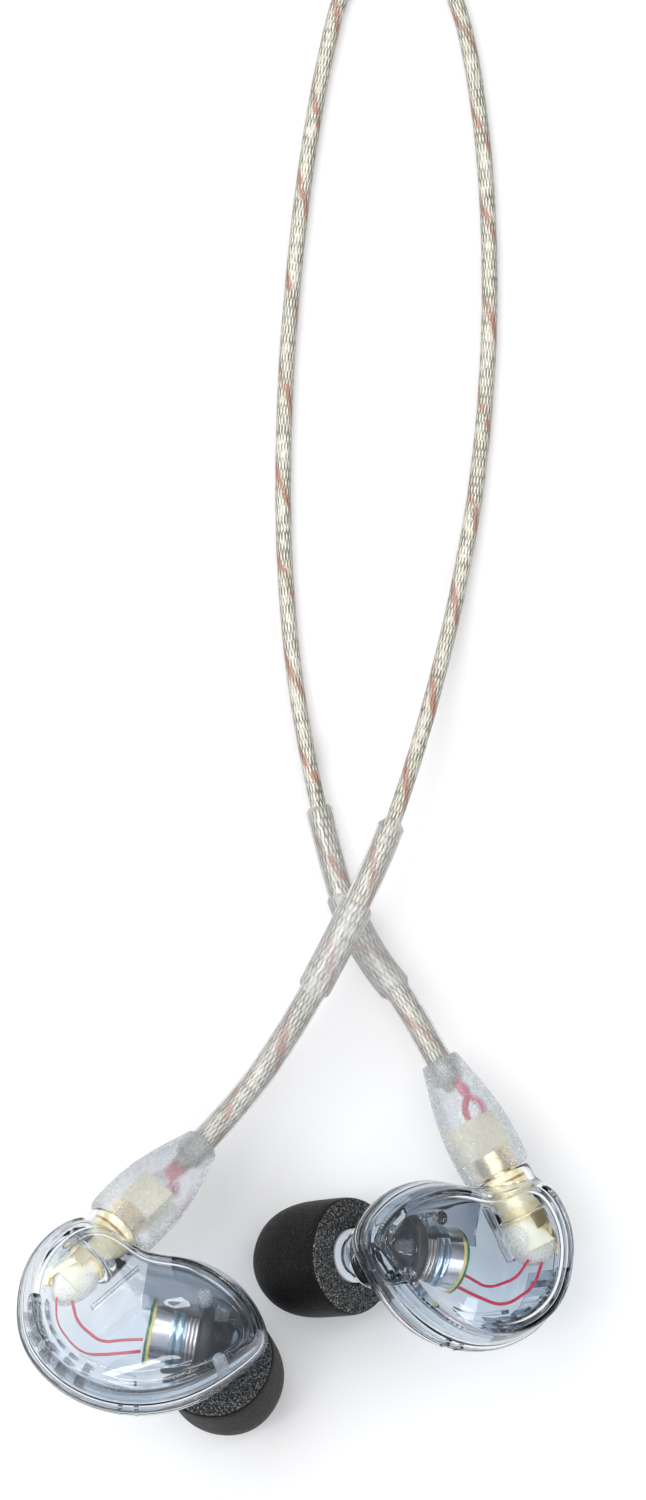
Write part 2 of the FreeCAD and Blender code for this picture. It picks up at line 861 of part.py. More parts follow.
def coil_tie():
    """A strap round the main coil's turns."""
    outer = bound(
        "Part::Box",
        "coil_tie_outer",
        Length="dims.main_coil_outside - dims.main_coil_inside + 2 * dims.tie_thick + 0.6",
        Width="dims.tie_width",
        Height="dims.main_coil_height + 2 * dims.tie_thick",
    )
    inner = bound(
        "Part::Box",
        "coil_tie_inner",
        Length="dims.main_coil_outside - dims.main_coil_inside + 0.6",
        Width="dims.tie_width",
        Height="dims.main_coil_height",
    )
    left = f"{MAIN_COIL_AT.x} - dims.main_coil_outside"
    low = f"{MAIN_COIL_AT.y} - dims.tie_width / 2"
    place_at(outer, left + " - dims.tie_thick - 0.1", low)
    place_at(inner, left + " - 0.1", low, "dims.tie_thick")
    keep(cut("coil_tie", outer, inner), "coil_tie")


def rounded_block(name, length, width, height, bores, corner):
    """A block along X with rounded long edges and bores for the legs right through it."""
    body = doc.addObject("PartDesign::Body", name)
    sketch = body.newObject("Sketcher::SketchObject", name + "_section")
    sketch.AttachmentSupport = [(origin_plane(body, "YZ_Plane"), "")]
    sketch.MapMode = "FlatFace"
    half_w = float(body.evalExpression(width)) / 2
    half_h = float(body.evalExpression(height)) / 2
    corners = [(-half_w, -half_h), (half_w, -half_h), (half_w, half_h), (-half_w, half_h)]
    for start, end in zip(corners, corners[1:] + corners[:1]):
        sketch.addGeometry(Part.LineSegment(Vec(*start, 0), Vec(*end, 0)), False)
    for i in range(4):
        sketch.addConstraint(Sketcher.Constraint("Coincident", i, 2, (i + 1) % 4, 1))
    for i, kind in enumerate(("Horizontal", "Vertical", "Horizontal", "Vertical")):
        sketch.addConstraint(Sketcher.Constraint(kind, i))
    sketch.addConstraint(Sketcher.Constraint("Symmetric", 0, 1, 2, 1, -1, 1))
    wide = sketch.addConstraint(Sketcher.Constraint("DistanceX", 0, 1, 0, 2, 2 * half_w))
    tall = sketch.addConstraint(Sketcher.Constraint("DistanceY", 1, 1, 1, 2, 2 * half_h))
    sketch.setExpression(f"Constraints[{wide}]", width)
    sketch.setExpression(f"Constraints[{tall}]", height)
    pad = body.newObject("PartDesign::Pad", name + "_pad")
    pad.Profile = sketch
    pad.setExpression("Length", length)
    doc.recompute()
    long_edges = [
        f"Edge{i}"
        for i, edge in enumerate(pad.Shape.Edges, start=1)
        if abs(edge.tangentAt(edge.FirstParameter).x) > 0.99
    ]
    rounds = body.newObject("PartDesign::Fillet", name + "_rounds")
    rounds.Base = (pad, long_edges)
    rounds.setExpression("Radius", corner)
    holes = body.newObject("Sketcher::SketchObject", name + "_bores")
    holes.AttachmentSupport = [(origin_plane(body, "YZ_Plane"), "")]
    holes.MapMode = "FlatFace"
    for number, (across, radius) in enumerate(bores):
        size = float(body.evalExpression(radius))
        centre = Vec(across, 0, 0)
        holes.addGeometry(Part.Circle(centre, Vec(0, 0, 1), size), False)
        limit = holes.addConstraint(Sketcher.Constraint("Radius", number, size))
        holes.setExpression(f"Constraints[{limit}]", radius)
        if across:
            holes.addConstraint(Sketcher.Constraint("DistanceX", -1, 1, number, 3, across))
        else:
            holes.addConstraint(Sketcher.Constraint("PointOnObject", number, 3, -2))
        holes.addConstraint(Sketcher.Constraint("PointOnObject", number, 3, -1))
    doc.recompute()
    before = rounds.Shape.Volume
    pocket = body.newObject("PartDesign::Pocket", name + "_pocket")
    pocket.Profile = holes
    pocket.Type = "ThroughAll"
    pocket.Reversed = True
    doc.recompute()
    if pocket.Shape.Volume > before - 1e-6:
        raise RuntimeError(name + ": the bores cut nothing")
    return body


def cinch_slider():
    """The bead that slides along both legs to draw them together."""
    bore = "dims.leg_diameter / 2 + dims.slider_clear"
    bores = [(-LEG_SPACING / 2, bore), (LEG_SPACING / 2, bore)]
    body = rounded_block(
        "cinch_slider",
        "dims.slider_length",
        "dims.slider_width",
        "dims.slider_height",
        bores,
        "1.4",
    )
    turn = FreeCAD.Rotation(Vec(0, 0, 1), 90)
    place = PAIR_AT + Vec(0, SLIDER_FROM, dim("pair_height"))
    keep(body, "cinch_slider", FreeCAD.Placement(place, turn))


def cable_split():
    """The moulded yoke where the main cable divides into the two legs."""
    length = dim("split_length")
    rings = []
    stations = [(0.0, 1.0, 1.0), (0.55, 1.0, 1.0), (0.8, 0.8, 0.88), (1.0, 0.58, 0.78)]
    for share, width, height in stations:
        ellipse = Part.Ellipse(
            Vec(0, 0, length * share),
            dim("split_width") / 2 * width,
            dim("split_height") / 2 * height,
        )
        rings.append(Part.Wire([ellipse.toShape()]))
    shape = Part.makeLoft(rings, True, False)
    for step in (-LEG_SPACING / 2, LEG_SPACING / 2):
        hole = Part.makeCylinder(dim("leg_diameter") / 2 + 0.02, YOKE_SEAT, Vec(step, 0, 0))
        shape = shape.cut(hole)
    seat = Part.makeCylinder(
        dim("main_diameter") / 2 + 0.02, YOKE_SEAT, Vec(0, 0, length - YOKE_SEAT)
    )
    shape = shape.cut(seat)
    turn = FreeCAD.Rotation(Vec(0, 0, 1), YOKE_ANGLE + 90) * FreeCAD.Rotation(Vec(1, 0, 0), 90)
    place = FreeCAD.Placement(yoke_point(YOKE_FROM, 0, dim("pair_height")), turn)
    solid_feature("cable_split", shape, place)


def main_cable():
    yoke_end = YOKE_FROM + dim("split_length")
    start = yoke_point(yoke_end - YOKE_SEAT, 0, dim("pair_height"))
    first = [start] + [Vec(*point) for point in MAIN_TO_COIL]
    relief = PLUG_AT + Vec(0, RELIEF_DEPTH, dim("plug_body_radius"))
    last = [Vec(*point) for point in COIL_TO_PLUG] + [relief]
    solids = []
    for name, points in (("main_cable, split to coil", first), ("main_cable, coil to plug", last)):
        edges = route_edges(points)
        report_cord(name, edges, dim("main_diameter"), points)
        solids.append(sweep(edges, dim("main_diameter")))
    solid_feature("main_cable", Part.makeCompound(solids))


def plug_frame():
    """Z points from the cable to the plug's tip, away from the earpieces."""
    turn = FreeCAD.Rotation(Vec(1, 0, 0), -90)
    return FreeCAD.Placement(PLUG_AT + Vec(0, 0, dim("plug_body_radius")), turn)


def plug_pieces():
    """A 3.5 mm stereo plug: relief, moulded body, and three contacts on a core."""
    frame = plug_frame()
    body = "dims.plug_relief_length"
    shoulder = body + " + dims.plug_body_length"
    sleeve = shoulder + " + dims.plug_sleeve_length"
    ring = sleeve + " + dims.plug_gap_length"
    ring_end = ring + " + dims.plug_ring_length"
    tip = ring_end + " + dims.plug_gap_length"
    tip_end = tip + " + dims.plug_tip_length"
    relief = [
        ("dims.main_diameter / 2 + 0.02", "0"),
        ("dims.main_diameter / 2 + 0.5", "0"),
        ("dims.plug_body_radius - 1.0", body),
        ("dims.main_diameter / 2 + 0.02", body),
    ]
    turned("plug_strain_relief", relief, frame)
    casing = [
        ("0", body),
        ("dims.plug_body_radius", body),
        ("dims.plug_body_radius", shoulder + " - 1.2"),
        ("dims.plug_shoulder", shoulder),
        ("dims.plug_core", shoulder),
        ("dims.plug_core", shoulder + " - 2"),
        ("0", shoulder + " - 2"),
    ]
    rim = ("dims.plug_body_radius", body, "0.6")
    turned("plug_body", casing, frame, (rim,))
    turned("plug_sleeve", tube_outline("dims.plug_core", "dims.plug_radius", shoulder, sleeve), frame)
    turned("plug_ring", tube_outline("dims.plug_core", "dims.plug_radius", ring, ring_end), frame)
    insulator = [
        ("0", shoulder + " - 2"),
        ("dims.plug_core", shoulder + " - 2"),
        ("dims.plug_core", sleeve),
        ("dims.plug_gap_radius", sleeve),
        ("dims.plug_gap_radius", ring),
        ("dims.plug_core", ring),
        ("dims.plug_core", ring_end),
        ("dims.plug_gap_radius", ring_end),
        ("dims.plug_gap_radius", tip),
        ("0", tip),
    ]
    turned("plug_insulator", insulator, frame)
    point = [
        ("0", tip),
        ("dims.plug_radius", tip),
        ("dims.plug_radius - 0.55", tip + " + 0.9"),
        ("dims.plug_radius - 0.05", tip + " + 1.7"),
        ("0.5", tip_end),
        ("0", tip_end),
    ]
    turned("plug_tip", point, frame)


# ---------------------------------------------------------------- the whole set

for side in SIDES:
    shell_pieces(side)
    nozzle_screen(side)
    sleeve_core(side)
    foam_sleeve(side)
    driver_pieces(side)
    socket_pieces(side)
    driver_leads(side)
    snap_ring(side)
    connector_pieces(side)
    boot_insert(side)
    boot(side)
    formed_section(side)
    leg_cable(side)
coils()
coil_tie()
cinch_slider()
cable_split()
main_cable()
plug_pieces()
doc.recompute()

for thing in doc.Objects:
    if "Invalid" in thing.State or "Error" in thing.State:
        raise RuntimeError(thing.Name + ": " + str(thing.State))
for part in SUB_PARTS:
    if part.Shape.isNull() or not part.Shape.isValid() or not part.Shape.Solids:
        raise RuntimeError(part.Label + ": no valid solid")

os.makedirs("parts", exist_ok=True)
for part in SUB_PARTS:
    part.Shape.exportStep("parts/" + part.Label + ".step")
print(len(SUB_PARTS), "sub-parts written")
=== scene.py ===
import math

import bmesh
import bpy
import numpy as np
from mathutils import Matrix, Vector


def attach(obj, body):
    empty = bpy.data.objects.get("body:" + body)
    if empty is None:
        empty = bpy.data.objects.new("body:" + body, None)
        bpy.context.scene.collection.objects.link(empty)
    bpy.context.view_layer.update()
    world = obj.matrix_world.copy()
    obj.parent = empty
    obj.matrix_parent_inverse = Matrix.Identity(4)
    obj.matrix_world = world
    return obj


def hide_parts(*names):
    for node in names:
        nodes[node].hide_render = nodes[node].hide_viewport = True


# In-ear monitors on a pale table, seen from straight above.
# Lengths in the tables below are millimetres in the row frame or, where a comment says so,
# in the earpiece frame: u towards the nozzle end, v towards the cable, w out of the face.

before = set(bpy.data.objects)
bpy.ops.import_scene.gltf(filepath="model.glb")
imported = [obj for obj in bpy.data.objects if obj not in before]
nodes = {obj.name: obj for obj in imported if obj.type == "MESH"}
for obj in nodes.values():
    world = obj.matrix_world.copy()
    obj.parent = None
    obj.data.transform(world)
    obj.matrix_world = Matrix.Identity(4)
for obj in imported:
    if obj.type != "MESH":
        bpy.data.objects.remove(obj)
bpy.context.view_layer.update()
scene = bpy.context.scene
MM = 0.001
SIDES = ("left", "right")
HAND = {"left": 1, "right": -1}

# ---------------------------------------------------------------- camera and stage

VIEW_AT = (2.6, 60.1)
VIEW_HEIGHT = 166.7
CAMERA_HEIGHT = 400.0


def make_camera():
    camera = bpy.data.objects.new("camera", bpy.data.cameras.new("camera"))
    camera.data.sensor_fit = "VERTICAL"
    camera.data.angle = 2 * math.atan(VIEW_HEIGHT / 2 / CAMERA_HEIGHT)
    camera.data.clip_start = 0.01
    camera.location = Vector((*VIEW_AT, CAMERA_HEIGHT)) * MM
    scene.collection.objects.link(camera)
    scene.camera = camera


make_camera()


# ---------------------------------------------------------------- frames

def ear_matrix(at, turn, roll, tilt):
    """The earpiece frame's place on the table, as in the CAD."""
    turned = Matrix.Rotation(math.radians(tilt), 4, "X")
    turned = turned @ Matrix.Rotation(math.radians(roll), 4, "Y")
    turned = turned @ Matrix.Rotation(math.radians(turn), 4, "Z")
    return Matrix.Translation(Vector(at) * MM) @ turned @ Matrix.Scale(MM, 4)


EARS = {
    "left": ear_matrix((-16.54, -0.91, 19.65), -10, 0, -25),
    "right": ear_matrix((17.15, 5.39, 14.48), -5, 34, -14),
}


def local(side, u, v, w):
    """A point of the earpiece frame; the right earpiece is the left one's mirror image."""
    return Vector((HAND[side] * u, v, w))


def axis_frame(side, start, along, across):
    """A frame with Z along a turned piece's axis and X across it, from mm to the table."""
    z = local(side, *along).normalized()
    x = local(side, *across)
    x = (x - z * x.dot(z)).normalized()
    y = z.cross(x)
    turn = Matrix((x, y, z)).transposed().to_4x4()
    return EARS[side] @ Matrix.Translation(local(side, *start)) @ turn


def lean(angle, dip):
    """A direction at an angle from u towards v, dipped towards the back."""
    a, d = math.radians(angle), math.radians(dip)
    return (math.cos(a) * math.cos(d), math.sin(a) * math.cos(d), -math.sin(d))


SOCKET = {
    side: axis_frame(side, (-5.0, 9.6, 0.0), lean(60, 12), lean(-30, 0)) for side in SIDES
}
NOZZLE = {
    side: axis_frame(side, (7.2, 0.2, -6.2), lean(0, 80), (1, 0, 0)) for side in SIDES
}
DRIVER = {
    side: axis_frame(side, (0.6, 0.0, -0.5), lean(0, 4), (0, 1, 0)) for side in SIDES
}


# ---------------------------------------------------------------- materials

def set_stops(ramp, stops):
    """Sets a colour ramp's (place, colour) pairs; a number stands for a grey."""
    while len(ramp.elements) < len(stops):
        ramp.elements.new(1.0)
    for element, (at, colour) in zip(ramp.elements, stops):
        if isinstance(colour, (int, float)):
            colour = (colour, colour, colour)
        element.position = at
        element.color = (*colour, 1)



class Shader:
    """A node material under construction: one Principled shader and its helpers."""

    def __init__(self, name, **sockets):
        self.material = bpy.data.materials.new(name)
        self.material.use_nodes = True
        self.tree = self.material.node_tree
        self.main = self.tree.nodes["Principled BSDF"]
        self.out = self.tree.nodes["Material Output"]
        for socket, value in sockets.items():
            self.main.inputs[socket.replace("_", " ")].default_value = value

    def node(self, kind, **values):
        made = self.tree.nodes.new(kind)
        for key, value in values.items():
            setattr(made, key, value)
        return made

    def link(self, source, target):
        self.tree.links.new(source, target)

    def place(self, coords="Object"):
        return self.node("ShaderNodeTexCoord").outputs[coords]

    def noise(self, scale, detail=3.0, rough=0.5):
        made = self.node("ShaderNodeTexNoise")
        made.inputs["Scale"].default_value = scale
        made.inputs["Detail"].default_value = detail
        made.inputs["Roughness"].default_value = rough
        self.link(self.place(), made.inputs["Vector"])
        return made.outputs["Fac"]

    def cells(self, scale):
        made = self.node("ShaderNodeTexVoronoi")
        made.inputs["Scale"].default_value = scale
        self.link(self.place(), made.inputs["Vector"])
        return made.outputs["Distance"]

    def math(self, kind, first, second=None):
        made = self.node("ShaderNodeMath", operation=kind)
        for number, value in enumerate((first, second)):
            if value is None:
                continue
            if isinstance(value, (int, float)):
                made.inputs[number].default_value = value
            else:
                self.link(value, made.inputs[number])
        return made.outputs[0]

    def ramp(self, source, stops):
        """Colours along a value."""
        made = self.node("ShaderNodeValToRGB")
        set_stops(made.color_ramp, stops)
        self.link(source, made.inputs["Fac"])
        return made.outputs["Color"]

    def colour(self, source):
        self.link(source, self.main.inputs["Base Color"])

    def rough(self, source, low, high):
        made = self.node("ShaderNodeMapRange")
        made.inputs["To Min"].default_value = low
        made.inputs["To Max"].default_value = high
        self.link(source, made.inputs["Value"])
        self.link(made.outputs["Result"], self.main.inputs["Roughness"])

    def bump(self, source, height_mm, strength):
        made = self.node("ShaderNodeBump")
        made.inputs["Strength"].default_value = strength
        made.inputs["Distance"].default_value = height_mm * MM
        self.link(source, made.inputs["Height"])
        self.link(made.outputs["Normal"], self.main.inputs["Normal"])

    def over_clear(self, tint):
        """Mixes the shader with a tinted see-through one, and returns the mix's factor."""
        clear = self.node("ShaderNodeBsdfTransparent")
        clear.inputs["Color"].default_value = (*tint, 1)
        mix = self.node("ShaderNodeMixShader")
        self.link(self.main.outputs[0], mix.inputs[1])
        self.link(clear.outputs[0], mix.inputs[2])
        self.link(mix.outputs[0], self.out.inputs["Surface"])
        return mix.inputs[0]

    def lets_light(self, tint):
        """Lamps' light goes through, tinted, so that what is inside is lit."""
        path = self.node("ShaderNodeLightPath")
        self.link(path.outputs["Is Shadow Ray"], self.over_clear(tint))
        return self

    def part_clear(self, share, tint):
        """A share of the light passes straight through, under the shader's own."""
        self.over_clear(tint).default_value = share
        return self


def clear_plastic(name, light, deep):
    """Polished clear moulding, its tint a little uneven, with faint handling marks."""
    made = Shader(name, Transmission_Weight=1.0, IOR=1.49)
    cloud = made.noise(90.0, 2.0)
    made.colour(made.ramp(cloud, [(0.35, light), (0.65, deep)]))
    made.rough(made.noise(900.0, 4.0), 0.0, 0.035)
    made.bump(made.noise(170.0, 2.0), 0.06, 0.5)
    return made.lets_light((0.86, 0.89, 0.92)).material


def frosted_plastic(name, light, deep, share, milky, depth):
    """Translucent moulding with a fine sandblasted skin that catches small glints."""
    made = Shader(name, Transmission_Weight=1 - milky, IOR=1.42)
    cloud = made.noise(210.0, 3.0)
    made.colour(made.ramp(cloud, [(0.36, light), (0.62, deep)]))
    made.rough(made.noise(3000.0, 3.0), 0.16, 0.4)
    made.bump(made.cells(2600.0), depth, 0.6)
    return made.part_clear(share, (0.93, 0.95, 0.97)).material


def metal(name, light, deep, low=0.12, high=0.3):
    """Turned metal: fine grain and slightly uneven polish."""
    made = Shader(name, Metallic=1.0)
    made.colour(made.ramp(made.noise(700.0, 4.0), [(0.3, light), (0.7, deep)]))
    grain = made.noise(5000.0, 2.0)
    made.rough(grain, low, high)
    made.bump(grain, 0.01, 0.4)
    return made.material


def moulded(name, light, deep, low=0.25, high=0.45):
    """An opaque moulding with a satin skin."""
    made = Shader(name, Specular_IOR_Level=0.45)
    made.colour(made.ramp(made.noise(500.0, 4.0), [(0.3, light), (0.7, deep)]))
    grain = made.noise(1800.0, 3.0)
    made.rough(grain, low, high)
    made.bump(grain, 0.03, 0.5)
    return made.material


def radial_mm(made, place):
    """Distances in mm from a turned piece's axis, and along it."""
    back = made.node("ShaderNodeVectorMath", operation="SUBTRACT")
    back.inputs[1].default_value = place.translation
    made.link(made.place(), back.inputs[0])
    across = made.node("ShaderNodeVectorMath", operation="CROSS_PRODUCT")
    along = made.node("ShaderNodeVectorMath", operation="DOT_PRODUCT")
    axis = place.col[2].to_3d().normalized()
    for node in (across, along):
        node.inputs[1].default_value = axis
        made.link(back.outputs[0], node.inputs[0])
    size = made.node("ShaderNodeVectorMath", operation="LENGTH")
    made.link(across.outputs[0], size.inputs[0])
    return (
        made.math("MULTIPLY", size.outputs["Value"], 1 / MM),
        made.math("MULTIPLY", along.outputs["Value"], 1 / MM),
    )


def board(side):
    """Dark green solder mask with a gold rim and a few pads."""
    made = Shader(side + "_board_green", Specular_IOR_Level=0.6)
    radius, along = radial_mm(made, DRIVER[side])
    rim = made.math("MINIMUM", made.math("SUBTRACT", radius, 3.0), made.math("SUBTRACT", along, 0.12))
    pads = made.cells(700.0)
    edge = made.math("MAXIMUM", rim, made.math("SUBTRACT", 0.3, pads))
    gold, green, dark = (0.60, 0.46, 0.16), (0.012, 0.17, 0.07), (0.006, 0.08, 0.035)
    made.colour(made.ramp(edge, [(0.0, dark), (0.15, green), (0.22, gold), (1.0, gold)]))
    made.rough(made.noise(2500.0), 0.18, 0.38)
    made.bump(pads, 0.05, 0.4)
    return made.material


# (share of the barrel's length, colour), from its inner end to its mouth.
SOCKET_DEPTH = 5.0
SOCKET_BANDS = [
    (0.0, (0.90, 0.70, 0.36)),
    (0.27, (0.95, 0.75, 0.42)),
    (0.29, (1.0, 0.85, 0.56)),
    (0.58, (1.0, 0.84, 0.54)),
    (0.60, (0.90, 0.68, 0.34)),
    (0.84, (0.97, 0.80, 0.50)),
    (0.86, (0.42, 0.27, 0.10)),
    (0.90, (0.42, 0.27, 0.10)),
    (0.92, (1.0, 0.84, 0.54)),
]


def socket_gold(side):
    """The socket's barrel: gold and pale champagne bands, with a dark line at the mouth."""
    made = Shader(side + "_socket_gold", Metallic=0.3)
    _, along = radial_mm(made, SOCKET[side])
    place = made.math("DIVIDE", made.math("ADD", along, SOCKET_DEPTH), SOCKET_DEPTH)
    made.colour(made.ramp(place, SOCKET_BANDS))
    made.rough(made.noise(1500.0), 0.16, 0.34)
    made.bump(made.cells(900.0), 0.12, 0.5)
    return made.material


def ringed_metal(name, side, light, deep, spacing):
    """Turned metal with fine rings along its axis."""
    made = Shader(name, Metallic=1.0)
    _, along = radial_mm(made, DRIVER[side])
    rings = made.math("SINE", made.math("MULTIPLY", along, 2 * math.pi / spacing))
    mixed = made.math("ADD", rings, made.noise(600.0, 3.0))
    made.colour(made.ramp(mixed, [(0.1, deep), (0.7, light)]))
    made.rough(made.noise(4000.0, 2.0), 0.16, 0.3)
    made.bump(rings, 0.03, 0.6)
    return made.material


def foam_skin():
    """The sleeve's side: a satin skin with faint pores and a dusting of pale specks."""
    made = Shader("foam_skin", Specular_IOR_Level=0.11, Sheen_Weight=0.02)
    made.main.inputs["Sheen Roughness"].default_value = 0.4
    pores = made.cells(3200.0)
    speck_noise = made.noise(4300.0, 3.0, 0.75)
    made.colour(made.ramp(speck_noise, [(0.0, 0.004), (0.58, 0.007), (0.66, 0.03), (0.78, 0.12)]))
    made.rough(made.noise(1200.0, 3.0), 0.42, 0.62)
    made.bump(pores, 0.12, 0.45)
    return made.material


def foam_cut():
    """The sleeve's cut end: open cells, black, with pale specks painted on as glints off the cell
    walls.
    """
    made = Shader("foam_cut", Specular_IOR_Level=0.16, Sheen_Weight=0.03)
    made.main.inputs["Sheen Roughness"].default_value = 0.6
    pores = made.cells(5200.0)
    # Painted glints: the pale specks stand for light caught by the open cells' walls.
    speck_noise = made.noise(5400.0, 3.0, 0.8)
    grey = [(0.0, 0.003), (0.46, 0.01), (0.55, 0.09), (0.66, 0.5)]
    made.colour(made.ramp(speck_noise, grey))
    made.rough(made.noise(2600.0, 2.0), 0.55, 0.9)
    made.bump(made.math("MULTIPLY", pores, speck_noise), 0.3, 0.8)
    return made.material


def braid(name, girth, pitch, lay_pitch):
    """Two crossing families of silver strands, and a copper strand wound among them,
    from a tube's UVs: U runs along the cord in metres, and V once round it."""
    made = Shader(name, Metallic=0.25)
    split = made.node("ShaderNodeSeparateXYZ")
    made.link(made.place(coords="UV"), split.inputs[0])
    along = made.math("MULTIPLY", split.outputs["X"], math.pi / pitch)
    around = made.math("MULTIPLY", split.outputs["Y"], math.pi * girth)
    one = made.math("SINE", made.math("ADD", along, around))
    two = made.math("SINE", made.math("SUBTRACT", along, around))
    worn = made.math("MULTIPLY", made.math("SUBTRACT", made.noise(1000.0, 3.0), 0.55), 1.6)
    fleck = made.math("ABSOLUTE", made.math("MULTIPLY", one, two))
    weave = made.math("ADD", fleck, worn)
    slow = made.math("MULTIPLY", split.outputs["X"], 2 * math.pi / lay_pitch)
    turn = made.math("MULTIPLY", split.outputs["Y"], 2 * math.pi)
    wander = made.math("MULTIPLY", made.noise(70.0, 2.0), 2.2)
    lay = made.math("SINE", made.math("ADD", made.math("ADD", slow, turn), wander))
    strand = made.math("ADD", lay, made.math("MULTIPLY", worn, 0.8))
    copper = made.ramp(strand, [(0.72, 0.0), (0.96, 1.0)])
    silver = made.ramp(weave, [(0.0, (0.14, 0.135, 0.09)), (0.42, (0.80, 0.78, 0.69))])
    warm = made.ramp(weave, [(0.0, (0.15, 0.06, 0.035)), (0.42, (0.50, 0.25, 0.17))])
    mix = made.node("ShaderNodeMix", data_type="RGBA")
    made.link(copper, mix.inputs["Factor"])
    made.link(silver, mix.inputs["A"])
    made.link(warm, mix.inputs["B"])
    made.colour(mix.outputs["Result"])
    made.rough(made.noise(5000.0), 0.25, 0.45)
    made.bump(weave, 0.09, 0.8)
    return made.material


def sheath(name, tint, shadow, haze):
    """A clear flexible jacket, a little hazy, over what it covers."""
    made = Shader(name, Transmission_Weight=1 - haze, IOR=1.47)
    cloud = made.noise(300.0, 2.0)
    made.colour(made.ramp(cloud, [(0.3, tint), (0.7, tuple(0.94 * c for c in tint))]))
    made.rough(made.noise(1500.0), 0.02, 0.08)
    made.bump(made.noise(500.0, 2.0), 0.03, 0.4)
    return made.lets_light(shadow).material


# After its name each has a light and a deep tint; a sheath has its own and its shadow's, then
# its haze. A frosted one goes on with its see-through share, milkiness and grain in mm, and
# a metal or a moulding with its roughness, from and to.
MATERIALS = {
    "clear": clear_plastic("clear_shell", (0.90, 0.93, 0.955), (0.74, 0.80, 0.86)),
    "clear_thin": clear_plastic("clear_detail", (0.97, 0.98, 0.99), (0.86, 0.90, 0.94)),
    "tinted": clear_plastic("tinted_clear", (0.74, 0.80, 0.86), (0.56, 0.63, 0.70)),
    "frost": frosted_plastic("frosted_peg", (0.95, 0.96, 0.98), (0.84, 0.88, 0.92), 0.45, 0.3, 0.01),
    "smoky": clear_plastic("smoky_clear", (0.50, 0.60, 0.70), (0.24, 0.33, 0.42)),
    # Painted shade: a dark grey clear plastic that stands in for the shade inside the shells, on the
    # ribs and the shelf.
    "shade": clear_plastic("painted_shade_clear", (0.48, 0.52, 0.58), (0.33, 0.37, 0.43)),
    "potting": frosted_plastic("potting", (0.98, 0.95, 0.86), (0.90, 0.88, 0.80), 0.04, 0.7, 0.035),
    "boot": frosted_plastic("frosted_boot", (0.94, 0.96, 0.98), (0.72, 0.78, 0.84), 0.26, 0.3, 0.022),
    "sheath": sheath("clear_sheath", (0.90, 0.90, 0.91), (0.87, 0.87, 0.88), 0.16),
    "jacket": sheath("cable_jacket", (0.97, 0.965, 0.95), (0.95, 0.95, 0.94), 0.04),
    "gold": metal("gold_plate", (0.98, 0.82, 0.53), (0.90, 0.68, 0.36), 0.14, 0.28),
    "steel": metal("steel_bright", (0.86, 0.87, 0.89), (0.72, 0.74, 0.77)),
    "wire": metal("memory_steel", (0.7, 0.7, 0.7), (0.55, 0.55, 0.55)),
    "ivory": moulded("ivory_plastic", (0.93, 0.88, 0.70), (0.88, 0.81, 0.60)),
    "white": moulded("sleeve_core", (0.86, 0.88, 0.93), (0.76, 0.79, 0.86), 0.2, 0.4),
    "rubber": moulded("black_rubber", (0.02, 0.02, 0.022), (0.012, 0.012, 0.014)),
    "red": moulded("red_enamel", (0.62, 0.01, 0.06), (0.48, 0.005, 0.04), 0.12, 0.25),
    "pink": moulded("pink_wire", (0.93, 0.22, 0.36), (0.80, 0.12, 0.25), 0.2, 0.4),
    "foam_skin": foam_skin(),
    "foam_cut": foam_cut(),
    "braid": braid("braided_cable", 12, 0.002, 0.0106),
}
for side in SIDES:
    MATERIALS[side + "_board"] = board(side)
    MATERIALS[side + "_socket_gold"] = socket_gold(side)
    blue = ringed_metal(side + "_steel_blue", side, (0.50, 0.62, 0.72), (0.28, 0.37, 0.45), 0.8)
    warm = ringed_metal(side + "_steel_warm", side, (0.62, 0.56, 0.56), (0.33, 0.30, 0.31), 0.42)
    MATERIALS[side + "_steel_blue"] = blue
    MATERIALS[side + "_steel_warm"] = warm


# ---------------------------------------------------------------- mesh helpers

def object_of(name, mesh, material, smooth=True):
    made = bpy.data.objects.new(name, mesh)
    scene.collection.objects.link(made)
    mesh.materials.append(MATERIALS[material])
    for face in mesh.polygons:
        face.use_smooth = smooth
    return made


def mesh_of(name, bm):
    """The finished mesh, its faces turned outwards."""
    bmesh.ops.recalc_face_normals(bm, faces=bm.faces)
    mesh = bpy.data.meshes.new(name)
    bm.to_mesh(mesh)
    bm.free()
    return mesh


def grid_mesh(name, rows, closed_rows=False):
    """A skin over rows of points that each close on themselves. A row of one point is a
    pole. With closed_rows the last row joins the first, as on a ring."""
    bm = bmesh.new()
    made = [[bm.verts.new(p) for p in row] for row in rows]
    pairs = list(zip(made, made[1:]))
    if closed_rows:
        pairs.append((made[-1], made[0]))
    for low, high in pairs:
        count = max(len(low), len(high))
        for i in range(count):
            j = (i + 1) % count
            corners = [low[i % len(low)], low[j % len(low)], high[j % len(high)], high[i % len(high)]]
            corners = list(dict.fromkeys(corners))
            if len(corners) > 2:
                bm.faces.new(corners)
    return mesh_of(name, bm)


def with_poles(rows):
    """The rows of a skin with a point in the middle of each end, to close it."""
    first, last = (sum(row, Vector()) / len(row) for row in (rows[0], rows[-1]))
    return [[first], *rows, [last]]


def bake(made):
    """Applies an object's modifiers."""
    evaluated = made.evaluated_get(bpy.context.evaluated_depsgraph_get())
    mesh = bpy.data.meshes.new_from_object(evaluated)
    made.modifiers.clear()
    made.data = mesh
    for face in mesh.polygons:
        face.use_smooth = True


def turned(name, place, outline, material, count=64):
    """A piece turned about Z from a closed (radius, height) outline; radius 0 is a pole."""
    rows = []
    for radius, height in outline:
        if radius == 0:
            rows.append([place @ Vector((0, 0, height))])
            continue
        turns = [2 * math.pi * i / count for i in range(count)]
        rows.append(
            [place @ Vector((radius * math.cos(t), radius * math.sin(t), height)) for t in turns]
        )
    poles = outline[0][0] == 0 and outline[-1][0] == 0
    return object_of(name, grid_mesh(name, rows, not poles), material)


